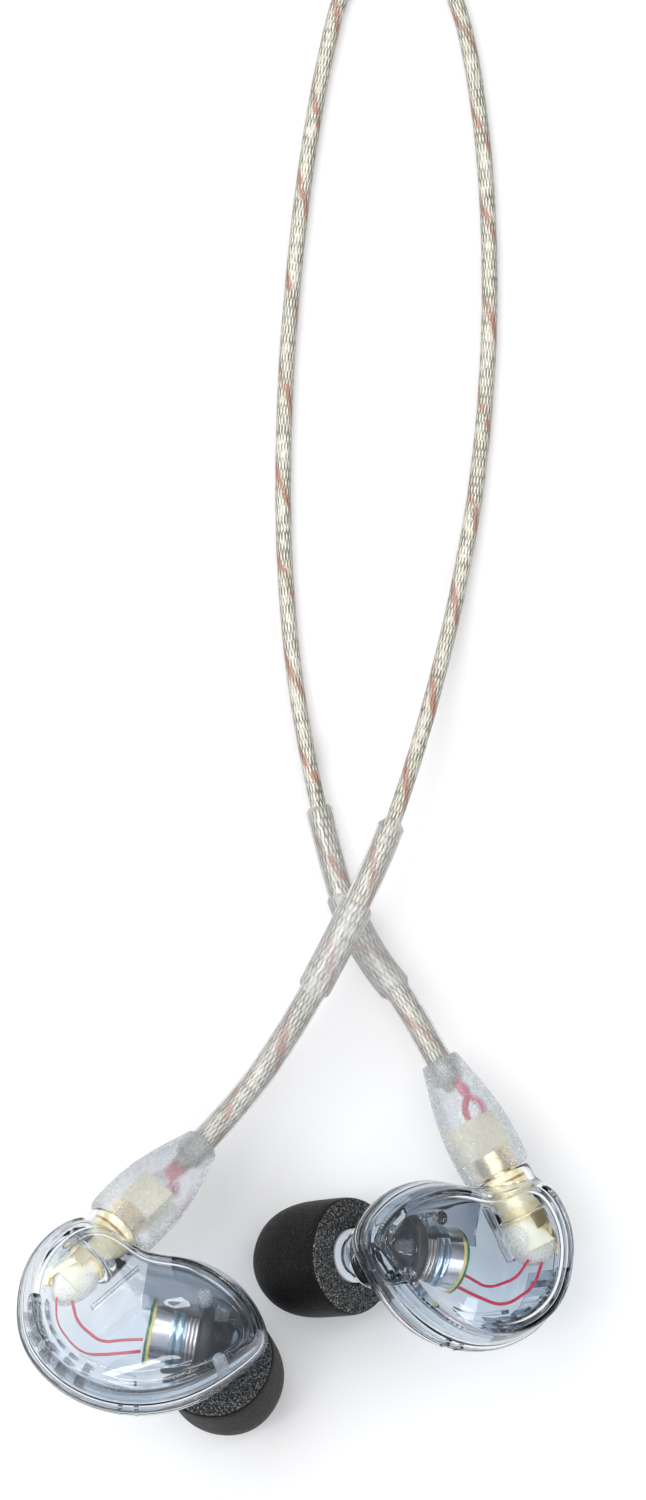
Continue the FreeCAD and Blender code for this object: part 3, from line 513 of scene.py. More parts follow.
def sharpened(outline, gap=0.06):
    """The outline with a close point on each side of every corner, for crisp soft edges."""
    points = []
    count = len(outline)
    for i, (r, h) in enumerate(outline):
        for neighbour in (outline[i - 1], outline[(i + 1) % count]):
            reach = math.hypot(neighbour[0] - r, neighbour[1] - h)
            share = min(gap / reach, 0.3) if reach else 0
            point = (r + (neighbour[0] - r) * share, h + (neighbour[1] - h) * share)
            points.append(point if r > 0 else (r, h))
    return list(dict.fromkeys(points))


def ride(made, body):
    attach(made, body)


# ---------------------------------------------------------------- cords

# Control points of each cord, the same routes as the CAD's. The stem is on the socket's
# axis, at these depths.
STEM = (7.2, 21.0)
LEG_ROUTES = {
    "left": [
        (-0.4, 30.4, 7.6), (2.9, 36.6, 9.6), (7.6, 45.8, 9.6), (11.2, 54.6, 7.0),
        (14.6, 65.6, 3.4), (17.6, 77.6, 1.4), (20.0, 91.0, 0.9), (21.2, 107.0, 0.9),
        (20.9, 122.0, 0.9), (19.6, 134.0, 0.9), (17.7, 143.0, 0.9), (14.2, 149.4, 1.3),
        (12.2, 155.0, 2.2), (12.2, 159.4, 2.4), (12.2, 168.0, 2.4), (12.2, 177.0, 2.4),
        (12.2, 186.0, 2.2),
    ],
    "right": [
        (8.0, 37.0, 3.4), (5.0, 42.8, 2.1), (3.0, 50.0, 1.95), (1.0, 58.6, 1.65),
        (-0.9, 70.0, 1.0), (-1.9, 84.0, 0.9), (-1.7, 100.0, 0.9), (-0.5, 115.0, 0.9),
        (1.0, 127.0, 0.9), (2.6, 136.0, 0.9), (4.6, 144.4, 0.9), (7.8, 150.4, 1.3),
        (9.8, 155.4, 2.2), (9.8, 159.4, 2.4), (9.8, 168.0, 2.4), (9.8, 177.0, 2.4),
        (9.8, 186.0, 2.2),
    ],
}
LEG_WIDTH = 1.8
LEGS_COIL_AT = (-3.6, 192.0)
LEG_COIL_RADIUS = {"left": 15.8, "right": 13.4}
LEG_COIL_TURNS = 3.125
LEG_COIL_PITCH = 4.2
LEG_LAYERS = (0.9, 2.75)
# The legs come in this much higher, and come down in a fifth of a turn.
LEG_DROP = 1.2
YOKE_LINE_AT = Vector((6.72, 202.32, 2.4))
YOKE_ALONG = Vector((-math.sqrt(0.5), math.sqrt(0.5), 0))
YOKE_ASIDE = Vector((-math.sqrt(0.5), -math.sqrt(0.5), 0))
YOKE_STEP = {"left": -1.2, "right": 1.2}
# Distances along that line of the legs' last points and of the main cable's first.
YOKE_LEGS_AT = (7.0, 14.6)
YOKE_MAIN_AT = 24.6

MAIN_WIDTH = 2.4
MAIN_TO_COIL = [(-14.3, 223.3, 2.4), (-16.0, 228.8, 2.1), (-15.9, 234.2, 1.9)]
COIL_TO_PLUG = [
    (-16.3, 233.2, 8.4), (-20.2, 238.6, 6.7), (-22.6, 244.6, 4.6), (-23.4, 250.4, 3.4),
    (-23.4, 255.6, 3.4),
]
MAIN_COIL_AT = (1.6, 239.5)
MAIN_COLUMNS = (17.2, 14.75, 12.3)
MAIN_FLOOR = 1.8
MAIN_LAYER = 2.45
MAIN_TURNS = 11.8
TURN_POINTS = 16
STEP_SHARE = 1 / 6


def eased(value):
    value = min(max(value, 0.0), 1.0)
    return value * value * (3 - 2 * value)


def legs_coil_turns(side):
    """In along the table for half the turns, then out again on top of them."""
    points = []
    count = round(LEG_COIL_TURNS * TURN_POINTS)
    for i in range(1, count):
        turns = i / TURN_POINTS
        inward = min(turns, LEG_COIL_TURNS - turns)
        radius = LEG_COIL_RADIUS[side] - LEG_COIL_PITCH * inward
        up = eased((turns - LEG_COIL_TURNS / 2) * 3 + 0.5)
        height = LEG_LAYERS[0] + (LEG_LAYERS[1] - LEG_LAYERS[0]) * up
        height += LEG_DROP * (1 - eased(turns * 5))
        angle = 2 * math.pi * turns
        x = LEGS_COIL_AT[0] + radius * math.cos(angle)
        y = LEGS_COIL_AT[1] + radius * math.sin(angle)
        points.append((x, y, height))
    return points


def main_coil_turns():
    """Round turns side by side, with a short step to the next at the end of each."""
    points = []
    for i in range(round(MAIN_TURNS * TURN_POINTS) + 1):
        turns = i / TURN_POINTS
        number = int(turns)
        step = eased((turns - number - 1 + STEP_SHARE) / STEP_SHARE)
        here, after = (
            (MAIN_COLUMNS[n % 3 if n // 3 % 2 == 0 else 2 - n % 3], n // 3)
            for n in (number, number + 1)
        )
        radius = here[0] + (after[0] - here[0]) * step
        layer = here[1] + (after[1] - here[1]) * step
        angle = math.pi - 2 * math.pi * turns
        x = MAIN_COIL_AT[0] + radius * math.cos(angle)
        y = MAIN_COIL_AT[1] + radius * math.sin(angle)
        points.append((x, y, MAIN_FLOOR + MAIN_LAYER * layer))
    return points


def leg_points(side):
    stem = [SOCKET[side] @ Vector((0, 0, depth)) / MM for depth in STEM]
    end = [YOKE_LINE_AT + YOKE_ALONG * t + YOKE_ASIDE * YOKE_STEP[side] for t in YOKE_LEGS_AT]
    return stem + LEG_ROUTES[side] + legs_coil_turns(side) + end


def main_points():
    start = YOKE_LINE_AT + YOKE_ALONG * YOKE_MAIN_AT
    return [start] + MAIN_TO_COIL + main_coil_turns() + COIL_TO_PLUG


def cord_curve(name, points, width, material):
    """A round cord on one smooth line, with the route's points as control points."""
    curve = bpy.data.curves.new(name, "CURVE")
    curve.dimensions = "3D"
    spline = curve.splines.new("NURBS")
    spline.points.add(len(points) - 1)
    for control, at in zip(spline.points, points):
        control.co = (*(Vector(at) * MM), 1)
    spline.order_u = 3
    spline.use_endpoint_u = True
    curve.resolution_u = 10
    curve.bevel_depth = width * MM / 2
    curve.bevel_resolution = 5
    curve.use_fill_caps = True
    curve.materials.append(MATERIALS[material])
    made = bpy.data.objects.new(name, curve)
    scene.collection.objects.link(made)
    return made


def line_of(cord):
    """Points in metres along a cord's own smooth line."""
    bare = cord.data.copy()
    bare.bevel_depth = 0
    holder = bpy.data.objects.new("line", bare)
    scene.collection.objects.link(holder)
    evaluated = holder.evaluated_get(bpy.context.evaluated_depsgraph_get())
    mesh = bpy.data.meshes.new_from_object(evaluated)
    points = [v.co.copy() for v in mesh.vertices]
    bpy.data.objects.remove(holder)
    return points


def stretch(points, low_mm, high_mm, step_mm):
    """The part of a line between two distances along it, at even steps."""
    runs = [0.0]
    for a, b in zip(points, points[1:]):
        runs.append(runs[-1] + (b - a).length / MM)
    high_mm = min(high_mm, runs[-1])
    count = max(2, round((high_mm - low_mm) / step_mm) + 1)
    wanted = np.linspace(low_mm, high_mm, count)
    columns = [np.interp(wanted, runs, [p[axis] for p in points]) for axis in range(3)]
    return [Vector(p) for p in zip(*columns)], wanted


def line_length(points):
    return sum((b - a).length for a, b in zip(points, points[1:])) / MM


COARSE_STEP, FINE_STEP, FINE_SIDES = 0.6, 0.25, 24


def tube_along(name, line, low, high, radius_at, material, sides, offset=0.0):
    """A tube that follows a cord's line, with UVs: metres along it, and once round it.
    radius_at gives the radius in mm at a distance in mm from the tube's start."""
    step = COARSE_STEP if sides < FINE_SIDES else FINE_STEP
    points, distances = stretch(line, low, high, step)
    bm = bmesh.new()
    uv = bm.loops.layers.uv.new("UVMap")
    side = Vector((0, 0, 1))
    rings, places = [], []
    for i, at in enumerate(points):
        along = (points[min(i + 1, len(points) - 1)] - points[max(i - 1, 0)]).normalized()
        side = (side - along * side.dot(along)).normalized()
        other = along.cross(side)
        radius = radius_at(distances[i] - low) * MM
        centre = at + side * offset * MM
        turns = [2 * math.pi * k / sides for k in range(sides)]
        ring = [centre + (side * math.cos(t) + other * math.sin(t)) * radius for t in turns]
        rings.append([bm.verts.new(p) for p in ring])
        places.append(distances[i] * MM)
    for i, (a, b) in enumerate(zip(rings, rings[1:])):
        for k in range(sides):
            j = (k + 1) % sides
            face = bm.faces.new([a[k], a[j], b[j], b[k]])
            corners = ((places[i], k), (places[i], k + 1), (places[i + 1], k + 1), (places[i + 1], k))
            for loop, (u, v) in zip(face.loops, corners):
                loop[uv].uv = (u, v / sides)
    bm.faces.new(list(reversed(rings[0])))
    bm.faces.new(rings[-1])
    return object_of(name, mesh_of(name, bm), material)


FORMED_WIDTH = 3.0
OVERLAP_WIDTH = 3.7
FORMED_FROM = 4.4
# Where the sheaths end, by their place across the table from the earpieces.
FORMED_TO = {"left": 52.2, "right": 53.9}
OVERLAP_SPAN = {"left": (33.9, 43.5), "right": (33.7, 44.3)}
# The braids' radii, where a leg's braid starts, and how far from its cord's end one stops.
LEG_BRAID, MAIN_BRAID = 0.67, 0.9
LEG_BRAID_FROM = 3.6
BRAID_GAP = 0.4
# The memory wire's radius, its place off the cord's middle, and its distance from the rims.
MEMORY_RADIUS, MEMORY_ASIDE, MEMORY_GAP = 0.2, -1.14, 1


def distance_to(line, y_mm):
    """The distance in mm along a line to where it first reaches a place across the table."""
    run = 0.0
    for a, b in zip(line, line[1:]):
        if b.y >= y_mm * MM:
            return run + (b - a).length / MM * (y_mm * MM - a.y) / (b.y - a.y)
        run += (b - a).length / MM
    return run


def sleeve_radius(length, body, narrow, reach):
    """A sheath's radius along it: even, and softly narrowed towards both rims."""

    def radius(distance):
        edge = min(distance, length - distance)
        return body - narrow * (1 - eased(edge / reach))

    return radius


def leg(side):
    """One leg: clear jacket, braid, formed sheath, memory wire and overlap sleeve."""
    cord = cord_curve(side + "_cable", leg_points(side), LEG_WIDTH, "jacket")
    line = line_of(cord)
    length = line_length(line)
    core = tube_along(
        side + "_braid", line, LEG_BRAID_FROM, length - BRAID_GAP, lambda d: LEG_BRAID, "braid", 16
    )
    start, end = FORMED_FROM, distance_to(line, FORMED_TO[side])
    radius_at = sleeve_radius(end - start, FORMED_WIDTH / 2, 0.38, 0.55)
    formed = tube_along(side + "_sheath", line, start, end, radius_at, "sheath", 28)
    start, end = start + MEMORY_GAP, end - MEMORY_GAP
    name = side + "_memory_line"
    memory = tube_along(name, line, start, end, lambda d: MEMORY_RADIUS, "wire", 8, MEMORY_ASIDE)
    low, high = (distance_to(line, y) for y in OVERLAP_SPAN[side])
    radius_at = sleeve_radius(high - low, OVERLAP_WIDTH / 2, 0.3, 0.45)
    over = tube_along(side + "_overlap", line, low, high, radius_at, "sheath", 28)
    pieces = [core, formed, memory, over]
    for piece, slot in zip(pieces, ("braided_cable", "clear_sheath", "memory_steel", "clear_sheath")):
        ride(piece, "cable_set")
    ride(cord, "cable_set")
    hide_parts(side + "_leg_cable", "legs_coil")
    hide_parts(side + "_formed_sleeve")
    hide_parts(side + "_memory_wire")
    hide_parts(side + "_overlap_sleeve")


def main_cord():
    cord = cord_curve("main_lead", main_points(), MAIN_WIDTH, "jacket")
    line = line_of(cord)
    length = line_length(line)
    end = length - BRAID_GAP
    core = tube_along("main_braid", line, BRAID_GAP, end, lambda d: MAIN_BRAID, "braid", 16)
    ride(core, "cable_set")
    ride(cord, "cable_set")
    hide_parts("main_cable", "main_coil")


for side in SIDES:
    leg(side)
main_cord()

# ---------------------------------------------------------------- CAD pieces that stay

CAD_LOOKS = {
    "nozzle_screen": "steel",
    "driver_board": "left_board",
    "driver_magnet_cup": "steel",
    "driver_frame": "left_steel_blue",
    "driver_cover": "left_steel_warm",
    "driver_gasket": "rubber",
    "front_chamber": "smoky",
    "socket_barrel": "left_socket_gold",
    "socket_insulator": "ivory",
    "socket_contact": "gold",
    "driver_leads": "red",
    "snap_ring": "gold",
    "connector_shell": "gold",
    "connector_pin": "gold",
    "boot_insert": "ivory",
    "sleeve_core": "white",
    "cinch_slider": "boot",
    "cable_split": "boot",
    "coil_tie": "rubber",
    "plug_strain_relief": "boot",
    "plug_body": "boot",
    "plug_sleeve": "gold",
    "plug_ring": "gold",
    "plug_tip": "gold",
    "plug_insulator": "rubber",
}


def dress_cad():
    """Gives each CAD piece that stays its material; some are made for each side."""
    for name, made in nodes.items():
        kind = name.split("_", 1)[1] if name.startswith(SIDES) else name
        if kind in CAD_LOOKS:
            look = CAD_LOOKS[kind]
            if name.startswith("right_"):
                look = look.replace("left_", "right_")
            made.data.materials.clear()
            made.data.materials.append(MATERIALS[look])


dress_cad()

# ---------------------------------------------------------------- earpiece shells

# The outline at the seam, in the earpiece frame.
SHELL_OUTLINE = [
    (13.3, 0.6), (12.1, 3.5), (9.1, 6.3), (4.5, 7.9), (-0.6, 8.0), (-5.15, 9.86),
    (-9.4, 10.2), (-12.9, 6.0), (-13.5, 0.6), (-11.6, -4.6), (-6.4, -8.4), (0.4, -9.3),
    (7.1, -6.9), (11.7, -2.4),
]
# (share of the outline, height) from the middle of the face to the seam and inside again.
FACE_SKIN = [
    (0.0, 6.36), (0.22, 6.31), (0.45, 6.11), (0.64, 5.79), (0.76, 5.43), (0.80, 5.32),
    (0.825, 5.32), (0.85, 5.05), (0.87, 4.49), (0.905, 3.53), (0.94, 2.3),
    (0.958, 1.75), (0.975, 1.6), (0.985, 1.42), (0.982, 1.2), (0.986, 0.95),
    (1.0, 0.75), (1.004, 0.4), (1.004, 0.02), (0.93, 0.02), (0.92, 0.9), (0.88, 2.2),
    (0.82, 3.74), (0.775, 4.35), (0.755, 4.2), (0.735, 4.62), (0.66, 4.85),
    (0.62, 4.92), (0.42, 5.18), (0.2, 5.34), (0.0, 5.4),
]
BACK_SKIN = [
    (0.0, -6.55), (0.25, -6.45), (0.45, -6.24), (0.62, -5.77), (0.75, -5.08),
    (0.85, -4.09), (0.92, -2.7), (0.955, -1.9), (0.972, -1.7), (0.984, -1.5),
    (0.982, -1.25), (0.986, -0.95), (1.0, -0.75), (1.004, -0.4), (1.004, -0.02),
    (0.93, -0.02), (0.92, -0.9), (0.88, -2.2), (0.80, -3.77), (0.74, -4.35),
    (0.72, -4.15), (0.70, -4.6), (0.55, -5.24), (0.35, -5.45), (0.18, -5.56),
    (0.0, -5.61),
]
COLUMNS = 112
BEAK_WIDTH = 0.55
BEAK_REACH = 0.45
BEAK_THIN = 0.38


def closed_curve(points, count):
    """A smooth closed curve through the points: a periodic cubic spline."""
    corners = np.array(points, float)
    n = len(corners)
    system = 4 * np.eye(n) + np.roll(np.eye(n), 1, 0) + np.roll(np.eye(n), -1, 0)
    slopes = 3 * (np.roll(corners, -1, 0) - np.roll(corners, 1, 0))
    tangents = np.linalg.solve(system, slopes)
    made = []
    for t in np.arange(count) * n / count:
        i, s = int(t), t - int(t)
        j = (i + 1) % n
        made.append(
            (2 * s**3 - 3 * s**2 + 1) * corners[i]
            + (s**3 - 2 * s**2 + s) * tangents[i]
            + (3 * s**2 - 2 * s**3) * corners[j]
            + (s**3 - s**2) * tangents[j]
        )
    return np.array(made)


OUTLINE = closed_curve(SHELL_OUTLINE, COLUMNS)


def beak_share(point):
    """1 at the beak and 0 away from it, by the angle seen from the middle."""
    angle = math.atan2(point[1] - 0.6, point[0])
    return math.exp(-((angle / BEAK_WIDTH) ** 2))


def shell_point(side, point, share, height):
    """A point of a shell's skin; towards the beak the skin thins and reaches out."""
    near = beak_share(point)
    share = share + (1 - share) * BEAK_REACH * near * min(1.0, share * 1.4)
    height = height * (1 - BEAK_THIN * near * share)
    return EARS[side] @ local(side, point[0] * share, point[1] * share, height)


def shell_half(side, name, skin):
    rows = []
    for share, height in skin:
        if share == 0:
            rows.append([shell_point(side, (0.0, 0.0), 0, height)])
        else:
            rows.append([shell_point(side, point, share, height) for point in OUTLINE])
    return object_of(name, grid_mesh(name, rows), "clear")


def cutter(place, radius, low, high):
    outline = [(0, low), (radius, low), (radius, high), (0, high)]
    return turned("cutter", place, outline, "clear", 72)


def cut_out(made, tools):
    for tool in tools:
        modifier = made.modifiers.new("cut", "BOOLEAN")
        modifier.operation = "DIFFERENCE"
        modifier.solver = "EXACT"
        modifier.object = tool
    bpy.context.view_layer.update()
    bake(made)


COLLAR_RADIUS = 3.5
NECK_RADIUS = 3.9


def collar(side):
    """The clear ring that holds the socket, open at both ends, with a stepped mouth."""
    outline = [
        (2.7, -4.6), (3.3, -4.6), (3.44, -4.3), (3.44, -0.4), (3.36, 0.25), (3.1, 0.4),
        (2.9, 0.38), (2.66, 0.1),
    ]
    made = turned(side + "_collar", SOCKET[side], sharpened(outline), "clear_thin")
    ride(made, side + "_earpiece")


def nozzle(side):
    """The clear spout: a flared neck, a tube and a barb, with the sound bore through it."""
    outline = [
        (1.2, -1.2), (3.4, -1.2), (3.8, -0.6), (3.3, 0.6), (2.4, 1.7), (1.85, 2.3),
        (1.8, 3.2), (1.8, 6.3), (2.05, 6.5), (2.02, 6.8), (1.8, 7.7), (1.8, 10.3),
        (1.7, 10.45), (1.2, 10.45),
    ]
    made = turned(side + "_nozzle", NOZZLE[side], sharpened(outline), "clear_thin")
    ride(made, side + "_earpiece")


def ear_box(side, name, middle, size, turn, material, soft=0.12, dip=0.0):
    """A soft-edged block in the earpiece frame, turned on its own middle, then dipped."""
    spin = Matrix.Rotation(math.radians(turn) * HAND[side], 4, "Z")
    spin = spin @ Matrix.Rotation(math.radians(dip) * HAND[side], 4, "Y")
    place = EARS[side] @ Matrix.Translation(local(side, *middle)) @ spin
    bm = bmesh.new()
    bmesh.ops.create_cube(bm, size=1.0)
    for vertex in bm.verts:
        vertex.co = Vector(c * d for c, d in zip(vertex.co, size))
    bmesh.ops.bevel(bm, geom=bm.edges[:], offset=soft, segments=3, profile=0.5, affect="EDGES")
    for vertex in bm.verts:
        vertex.co = place @ vertex.co
    name = f"{side}_{name}"
    made = object_of(name, mesh_of(name, bm), material, smooth=False)
    ride(made, side + "_earpiece")


# Each peg's u and v, and w from and to. The left ones show as pale dots, so they are frosted.
PEGS = ((6.2, 3.2, 0.8, 5.3), (9.0, -3.1, 0.2, 4.3))
PEG_LOOK = {"left": "frost", "right": "clear_thin"}
RIB_DEGREES = (188, 203, 218, 232, 245)
RIB_SIZE = (1.5, 0.8, 2.8)


def bosses(side):
    """Two pegs under the face, the clear walls inside the shell, and ribs tinted dark: painted shade.
    """
    for number, (u, v, low, high) in enumerate(PEGS):
        place = EARS[side] @ Matrix.Translation(local(side, u, v, 0))
        outline = [(0, low), (0.75, low), (0.75, high - 0.25), (0.5, high), (0, high)]
        made = turned(f"{side}_boss_{number + 1}", place, sharpened(outline), PEG_LOOK[side], 32)
        ride(made, side + "_earpiece")
    for name, middle, size, turn in (
        ("wall_long", (-3.4, 3.0, 1.9), (6.4, 0.45, 1.2), 52),
        ("wall_short", (-2.6, -5.3, 0.2), (6.6, 0.45, 2.4), -14),
        ("catch_1", (-0.5, -9.1, 0.1), (0.42, 0.8, 1.5), -12),
        ("catch_2", (1.2, -8.95, 0.1), (0.42, 0.8, 1.5), 14),
    ):
        ear_box(side, name, middle, size, turn, "clear_thin")
    for number, degrees in enumerate(RIB_DEGREES):
        turn = math.radians(degrees)
        middle = (11.1 * math.cos(turn) - 0.3, 7.0 * math.sin(turn), -0.4)
        # The ribs are the shell's own; their dark grey tint is painted shade.
        ear_box(side, f"rib_{number + 1}", middle, RIB_SIZE, degrees, "shade")


# The lining's section as (share of the outline, height), and the outline's columns it is at.
LINING = [(0.80, 3.9), (0.825, 4.1), (0.845, 3.9), (0.86, 0.4)]
LINING += [(0.845, -2.4), (0.825, -2.6), (0.80, -2.4), (0.79, 0.4)]
LINING_COLUMNS = range(64, 140)


def lining(side):
    """A tinted wall inside the shell that follows its outline, open at the socket."""
    rows = []
    for i in LINING_COLUMNS:
        point = OUTLINE[i % COLUMNS]
        rows.append([shell_point(side, point, share, height) for share, height in LINING])
    name = side + "_lining"
    made = object_of(name, grid_mesh(name, with_poles(rows)), "tinted")
    ride(made, side + "_earpiece")


# The shelf's rim is at this v. Its edge is this share of the outline, above a v and within a
# span of u.
SHELF_RIM = 1.3
SHELF_SHARE = 0.84
SHELF_ABOVE = 2.8
SHELF_SPAN = (-1.0, 11.0)


def shelf(side):
    """A dark tinted ledge under the face, between the shell's upper edge and a straight rim: a sheet
    of painted shade.
    """
    rows = []
    for u, v in OUTLINE:
        if v > SHELF_ABOVE and SHELF_SPAN[0] < u < SHELF_SPAN[1]:
            edge = (SHELF_SHARE * u, SHELF_SHARE * v)
            rim = (SHELF_SHARE * u + 0.15 * (v - 6.0), SHELF_RIM)
            corners = ((edge, 2.0), (edge, 2.35), (rim, 2.5), (rim, 2.15))
            rows.append([EARS[side] @ local(side, *at, height) for at, height in corners])
    name = side + "_shelf"
    made = object_of(name, grid_mesh(name, with_poles(rows)), "shade", smooth=False)
    ride(made, side + "_earpiece")


def potting(side):
    """The pale resin round the socket's inner end, and the gold tab that comes out of it."""
    place = EARS[side] @ Matrix.Translation(local(side, -8.6, 3.7, 0.5))
    rows = []
    for i in range(19):
        tall = math.pi * i / 18
        row = []
        for k in range(40):
            turn = 2 * math.pi * k / 40
            lump = 1 + 0.07 * math.sin(3 * turn + 0.7) * math.sin(tall)
            x = 3.05 * lump * math.sin(tall) * math.cos(turn)
            y = 2.8 * lump * math.sin(tall) * math.sin(turn)
            z = 2.7 * math.copysign(abs(math.cos(tall)) ** 0.8, math.cos(tall))
            row.append(place @ Vector((HAND[side] * x, y, z)))
        rows.append([row[0]] if i in (0, 18) else row)
    name = side + "_potting"
    made = object_of(name, grid_mesh(name, rows), "potting")
    ride(made, side + "_earpiece")
    for name, middle, size, turn, dip in (
        ("tab_wide", (-7.4, 5.3, 3.75), (1.7, 1.8, 0.28), 60, 6),
        ("tab_long", (-9.3, 3.9, 3.5), (3.6, 0.75, 0.25), 32, -12),
        ("tab_foot", (-10.6, 2.5, 2.95), (0.8, 1.3, 0.25), 20, -20),
    ):
        ear_box(side, name, middle, size, turn, "gold", 0.06, dip)


CONE_AT = (7.9, 2.76)
CONE_SLOPE = math.radians(38)


def chamber_slot(side):
    """A small raised rounded slot on the front chamber's cone."""
    along = Vector((0, -HAND[side] * math.sin(CONE_SLOPE), math.cos(CONE_SLOPE)))
    across = Vector((1, 0, 0))
    out = across.cross(along)
    centre = Vector((0, HAND[side] * CONE_AT[1], CONE_AT[0]))
    rows = []
    for i in range(48):
        t = 2 * math.pi * i / 48
        long = 0.9 * math.copysign(abs(math.cos(t)) ** 0.5, math.cos(t))
        wide = 0.42 * math.copysign(abs(math.sin(t)) ** 0.8, math.sin(t))
        away = (along * long + across * wide).normalized()
        row = []
        for k in range(10):
            a = 2 * math.pi * k / 10
            step = (away * math.cos(a) + out * math.sin(a)) * 0.14
            row.append(DRIVER[side] @ (centre + along * long + across * wide + step))
        rows.append(row)
    name = side + "_chamber_slot"
    made = object_of(name, grid_mesh(name, rows, True), "clear_thin")
    ride(made, side + "_earpiece")


def gasket_lip(side):
    """The black seal's rounded lip round the driver."""
    outline = [(3.7, 5.4), (4.06, 5.45), (4.2, 5.65), (4.2, 6.45), (4.06, 6.65), (3.7, 6.7)]
    made = turned(side + "_gasket_lip", DRIVER[side], sharpened(outline), "rubber", 48)
    ride(made, side + "_earpiece")


def shells(side):
    front = shell_half(side, side + "_shell_front", FACE_SKIN)
    back = shell_half(side, side + "_shell_back", BACK_SKIN)
    tools = [
        cutter(SOCKET[side], COLLAR_RADIUS, -5.2, 9.0),
        cutter(NOZZLE[side], NECK_RADIUS, -1.4, 9.0),
    ]
    cut_out(front, tools[:1])
    cut_out(back, tools)
    for tool in tools:
        bpy.data.objects.remove(tool)
    for made, node in ((front, "_outer_shell"), (back, "_inner_shell")):
        ride(made, side + "_earpiece")
        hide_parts(side + node)
    collar(side)
    nozzle(side)


# ---------------------------------------------------------------- foam sleeves

def foam(side):
    """The ear sleeve: a rough cut end, a smooth side and a rounded nose."""
    low, high, radius, mouth = 2.4, 14.6, 6.4, 2.2
    start = low + 5.0
    outline = [(2.95, low + 1.6), (2.95, low + 0.05), (3.4, low)]
    outline += [(3.4 + 0.4 * i, low) for i in range(1, 7)]
    outline += [(6.1, low + 0.08), (6.33, low + 0.35), (6.4, low + 0.8)]
    outline += [(6.42, low + 2.5), (6.41, low + 4.0)]
    for i in range(15):
        angle = math.pi / 2 * i / 14
        across = mouth + (radius - mouth) * math.cos(angle) ** 0.8
        outline.append((across, start + (high - start) * math.sin(angle) ** 0.9))
    outline += [(2.2, high - 0.1), (2.15, high - 0.6), (2.15, high - 2.7), (2.95, high - 2.7)]
    outline += [(2.95, low + 5.0)]
    made = turned(side + "_foam", NOZZLE[side], outline, "foam_skin", 96)
    made.modifiers.new("smooth", "SUBSURF").levels = 1
    bake(made)
    roughen(made, NOZZLE[side], low)
    ride(made, side + "_ear_sleeve")
    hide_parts(side + "_foam_sleeve")


def roughen(made, place, low):
    """Pits the cut end, squeezes the sleeve a little out of round, and paints the end."""
    back = place.inverted()
    rng = np.random.default_rng(7)
    mesh = made.data
    mesh.materials.append(MATERIALS["foam_cut"])
    for vertex in mesh.vertices:
        at = back @ vertex.co
        radius = math.hypot(at.x, at.y)
        angle = math.atan2(at.y, at.x)
        if radius > 3.2:
            swell = 1 - 0.012 * (1 + math.sin(2 * angle + 0.6)) - 0.006 * math.sin(5 * angle)
            at.x *= swell
            at.y *= swell
        if at.z < low + 0.1 and radius > 2.9:
            at.z += float(rng.uniform(0.0, 0.16))
        vertex.co = place @ at
    for face in mesh.polygons:
        centre = back @ face.center
        if centre.z < low + 0.22 and math.hypot(centre.x, centre.y) > 3.0:
            face.material_index = 1


# ---------------------------------------------------------------- boots

# (depth, half width, half depth) along the socket's axis.
BOOT_STATIONS = [
    (0.62, 3.3, 2.1), (0.66, 3.7, 2.4), (0.9, 3.95, 2.62), (1.5, 4.08, 2.76),
    (3.2, 4.14, 2.8), (5.4, 4.1, 2.8), (7.4, 3.9, 2.74), (9.4, 3.5, 2.6),
    (11.2, 3.02, 2.4), (12.8, 2.52, 2.18), (13.9, 2.22, 2.04), (14.35, 2.1, 1.98),
    (14.58, 1.95, 1.86), (14.62, 1.72, 1.68),
]


def boot(side):
    """The frosted boot: an oval moulding with softly rounded rims."""
    rows = [[SOCKET[side] @ Vector((0, 0, BOOT_STATIONS[0][0]))]]
    for depth, wide, deep in BOOT_STATIONS:
        row = []
        for i in range(56):
            t = 2 * math.pi * i / 56
            x = wide * math.copysign(abs(math.cos(t)) ** 0.88, math.cos(t))
            y = deep * math.copysign(abs(math.sin(t)) ** 0.88, math.sin(t))
            row.append(SOCKET[side] @ Vector((x, y, depth)))
        rows.append(row)
    rows.append([SOCKET[side] @ Vector((0, 0, BOOT_STATIONS[-1][0]))])
    name = side + "_boot_skin"
    made = object_of(name, grid_mesh(name, rows), "boot")
    ride(made, "cable_set")
    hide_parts(side + "_boot")


# Each wire's material, and how far it starts to the side.
BOOT_WIRES = (("pink", -0.55), ("red", 0.55))
BOOT_WIRE_WIDTH = 0.7


def boot_wires(side):
    """The leg's two conductors where they part inside the boot, soldered to the insert."""
    for number, (look, aside) in enumerate(BOOT_WIRES):
        route = [
            (aside * 1.6, 0.9, 7.0),
            (aside * 2.6, 1.3, 8.2),
            (aside * 0.6, 1.5, 9.3),
            (aside * -1.4, 1.2, 10.4),
            (aside * 0.5, 0.9, 11.6),
        ]
        points = [SOCKET[side] @ Vector(at) / MM for at in route]
        made = cord_curve(f"{side}_boot_wire_{number + 1}", points, BOOT_WIRE_WIDTH, look)
        made.data.splines[0].order_u = 4
        made.data.resolution_u = 8
        made.data.bevel_resolution = 3
        ride(made, "cable_set")


for side in SIDES:
    shells(side)
    bosses(side)
    lining(side)
    shelf(side)
    potting(side)
    chamber_slot(side)
    gasket_lip(side)
    foam(side)
    boot(side)
    boot_wires(side)


# ---------------------------------------------------------------- stage and light

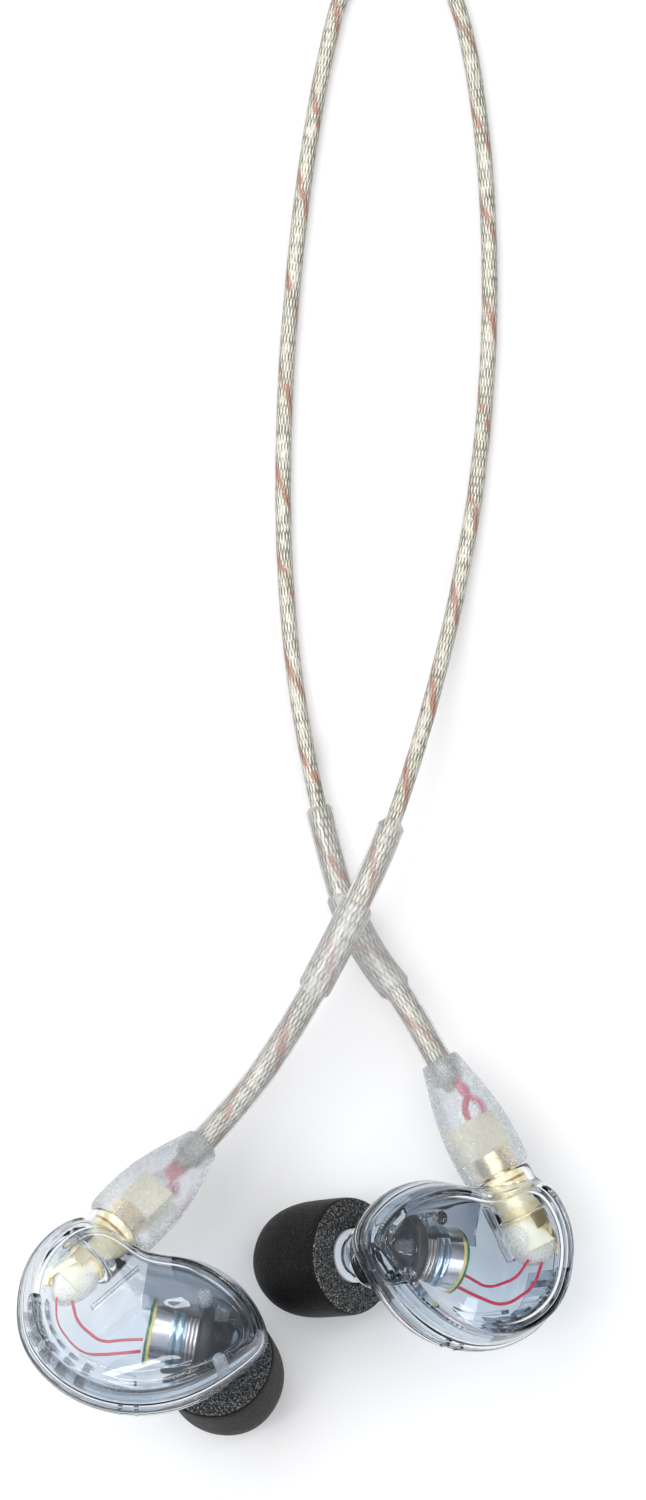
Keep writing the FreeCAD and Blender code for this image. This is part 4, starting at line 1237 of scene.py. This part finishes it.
def make_floor():
    bm = bmesh.new()
    bmesh.ops.create_grid(bm, x_segments=2, y_segments=2, size=1.5)
    mesh = bpy.data.meshes.new("table")
    bm.to_mesh(mesh)
    bm.free()
    floor = bpy.data.objects.new("table", mesh)
    floor.location = (0, 0.06, -0.00005)
    scene.collection.objects.link(floor)
    made = Shader("table_white", Roughness=0.7, Specular_IOR_Level=0.2)
    cloud = made.noise(4.0, 2.0)
    made.colour(made.ramp(cloud, [(0.3, 0.93), (0.7, 0.95)]))
    mesh.materials.append(made.material)


def area_light(name, at, size, power, colour=(1, 1, 1)):
    lamp = bpy.data.lights.new(name, "AREA")
    lamp.shape = "RECTANGLE"
    lamp.size, lamp.size_y = size
    lamp.energy = power
    lamp.color = colour
    made = bpy.data.objects.new(name, lamp)
    made.location = at
    aim = Vector((0.0, 0.03, 0.0)) - Vector(at)
    made.rotation_euler = aim.to_track_quat("-Z", "Y").to_euler()
    scene.collection.objects.link(made)


# The sky's greys by height, how much bluer than grey it is, and its strength.
SKY = [(0.0, 0.08), (0.22, 0.16), (0.45, 0.8), (1.0, 1.15)]
SKY_BLUE = 1.02
SKY_STRENGTH = 0.58


def make_light():
    """A pale sky that darkens towards the horizon, a soft key and a rim light."""
    world = bpy.data.worlds.new("studio")
    scene.world = world
    world.use_nodes = True
    tree = world.node_tree
    coords = tree.nodes.new("ShaderNodeTexCoord")
    split = tree.nodes.new("ShaderNodeSeparateXYZ")
    ramp = tree.nodes.new("ShaderNodeValToRGB")
    set_stops(ramp.color_ramp, [(at, (grey, grey, grey * SKY_BLUE)) for at, grey in SKY])
    tree.links.new(coords.outputs["Generated"], split.inputs[0])
    tree.links.new(split.outputs["Z"], ramp.inputs["Fac"])
    tree.links.new(ramp.outputs["Color"], tree.nodes["Background"].inputs["Color"])
    tree.nodes["Background"].inputs["Strength"].default_value = SKY_STRENGTH
    area_light("key", (-0.35, 0.28, 0.55), (1.0, 0.55), 3.5, (1.0, 0.99, 0.98))
    area_light("rim", (0.4, -0.25, 0.35), (0.5, 0.08), 0.8, (0.96, 0.98, 1.0))
    area_light("strip", (-0.04, 0.11, 0.52), (0.6, 0.03), 0.6)


make_floor()
make_light()
scene.view_settings.view_transform = "Standard"
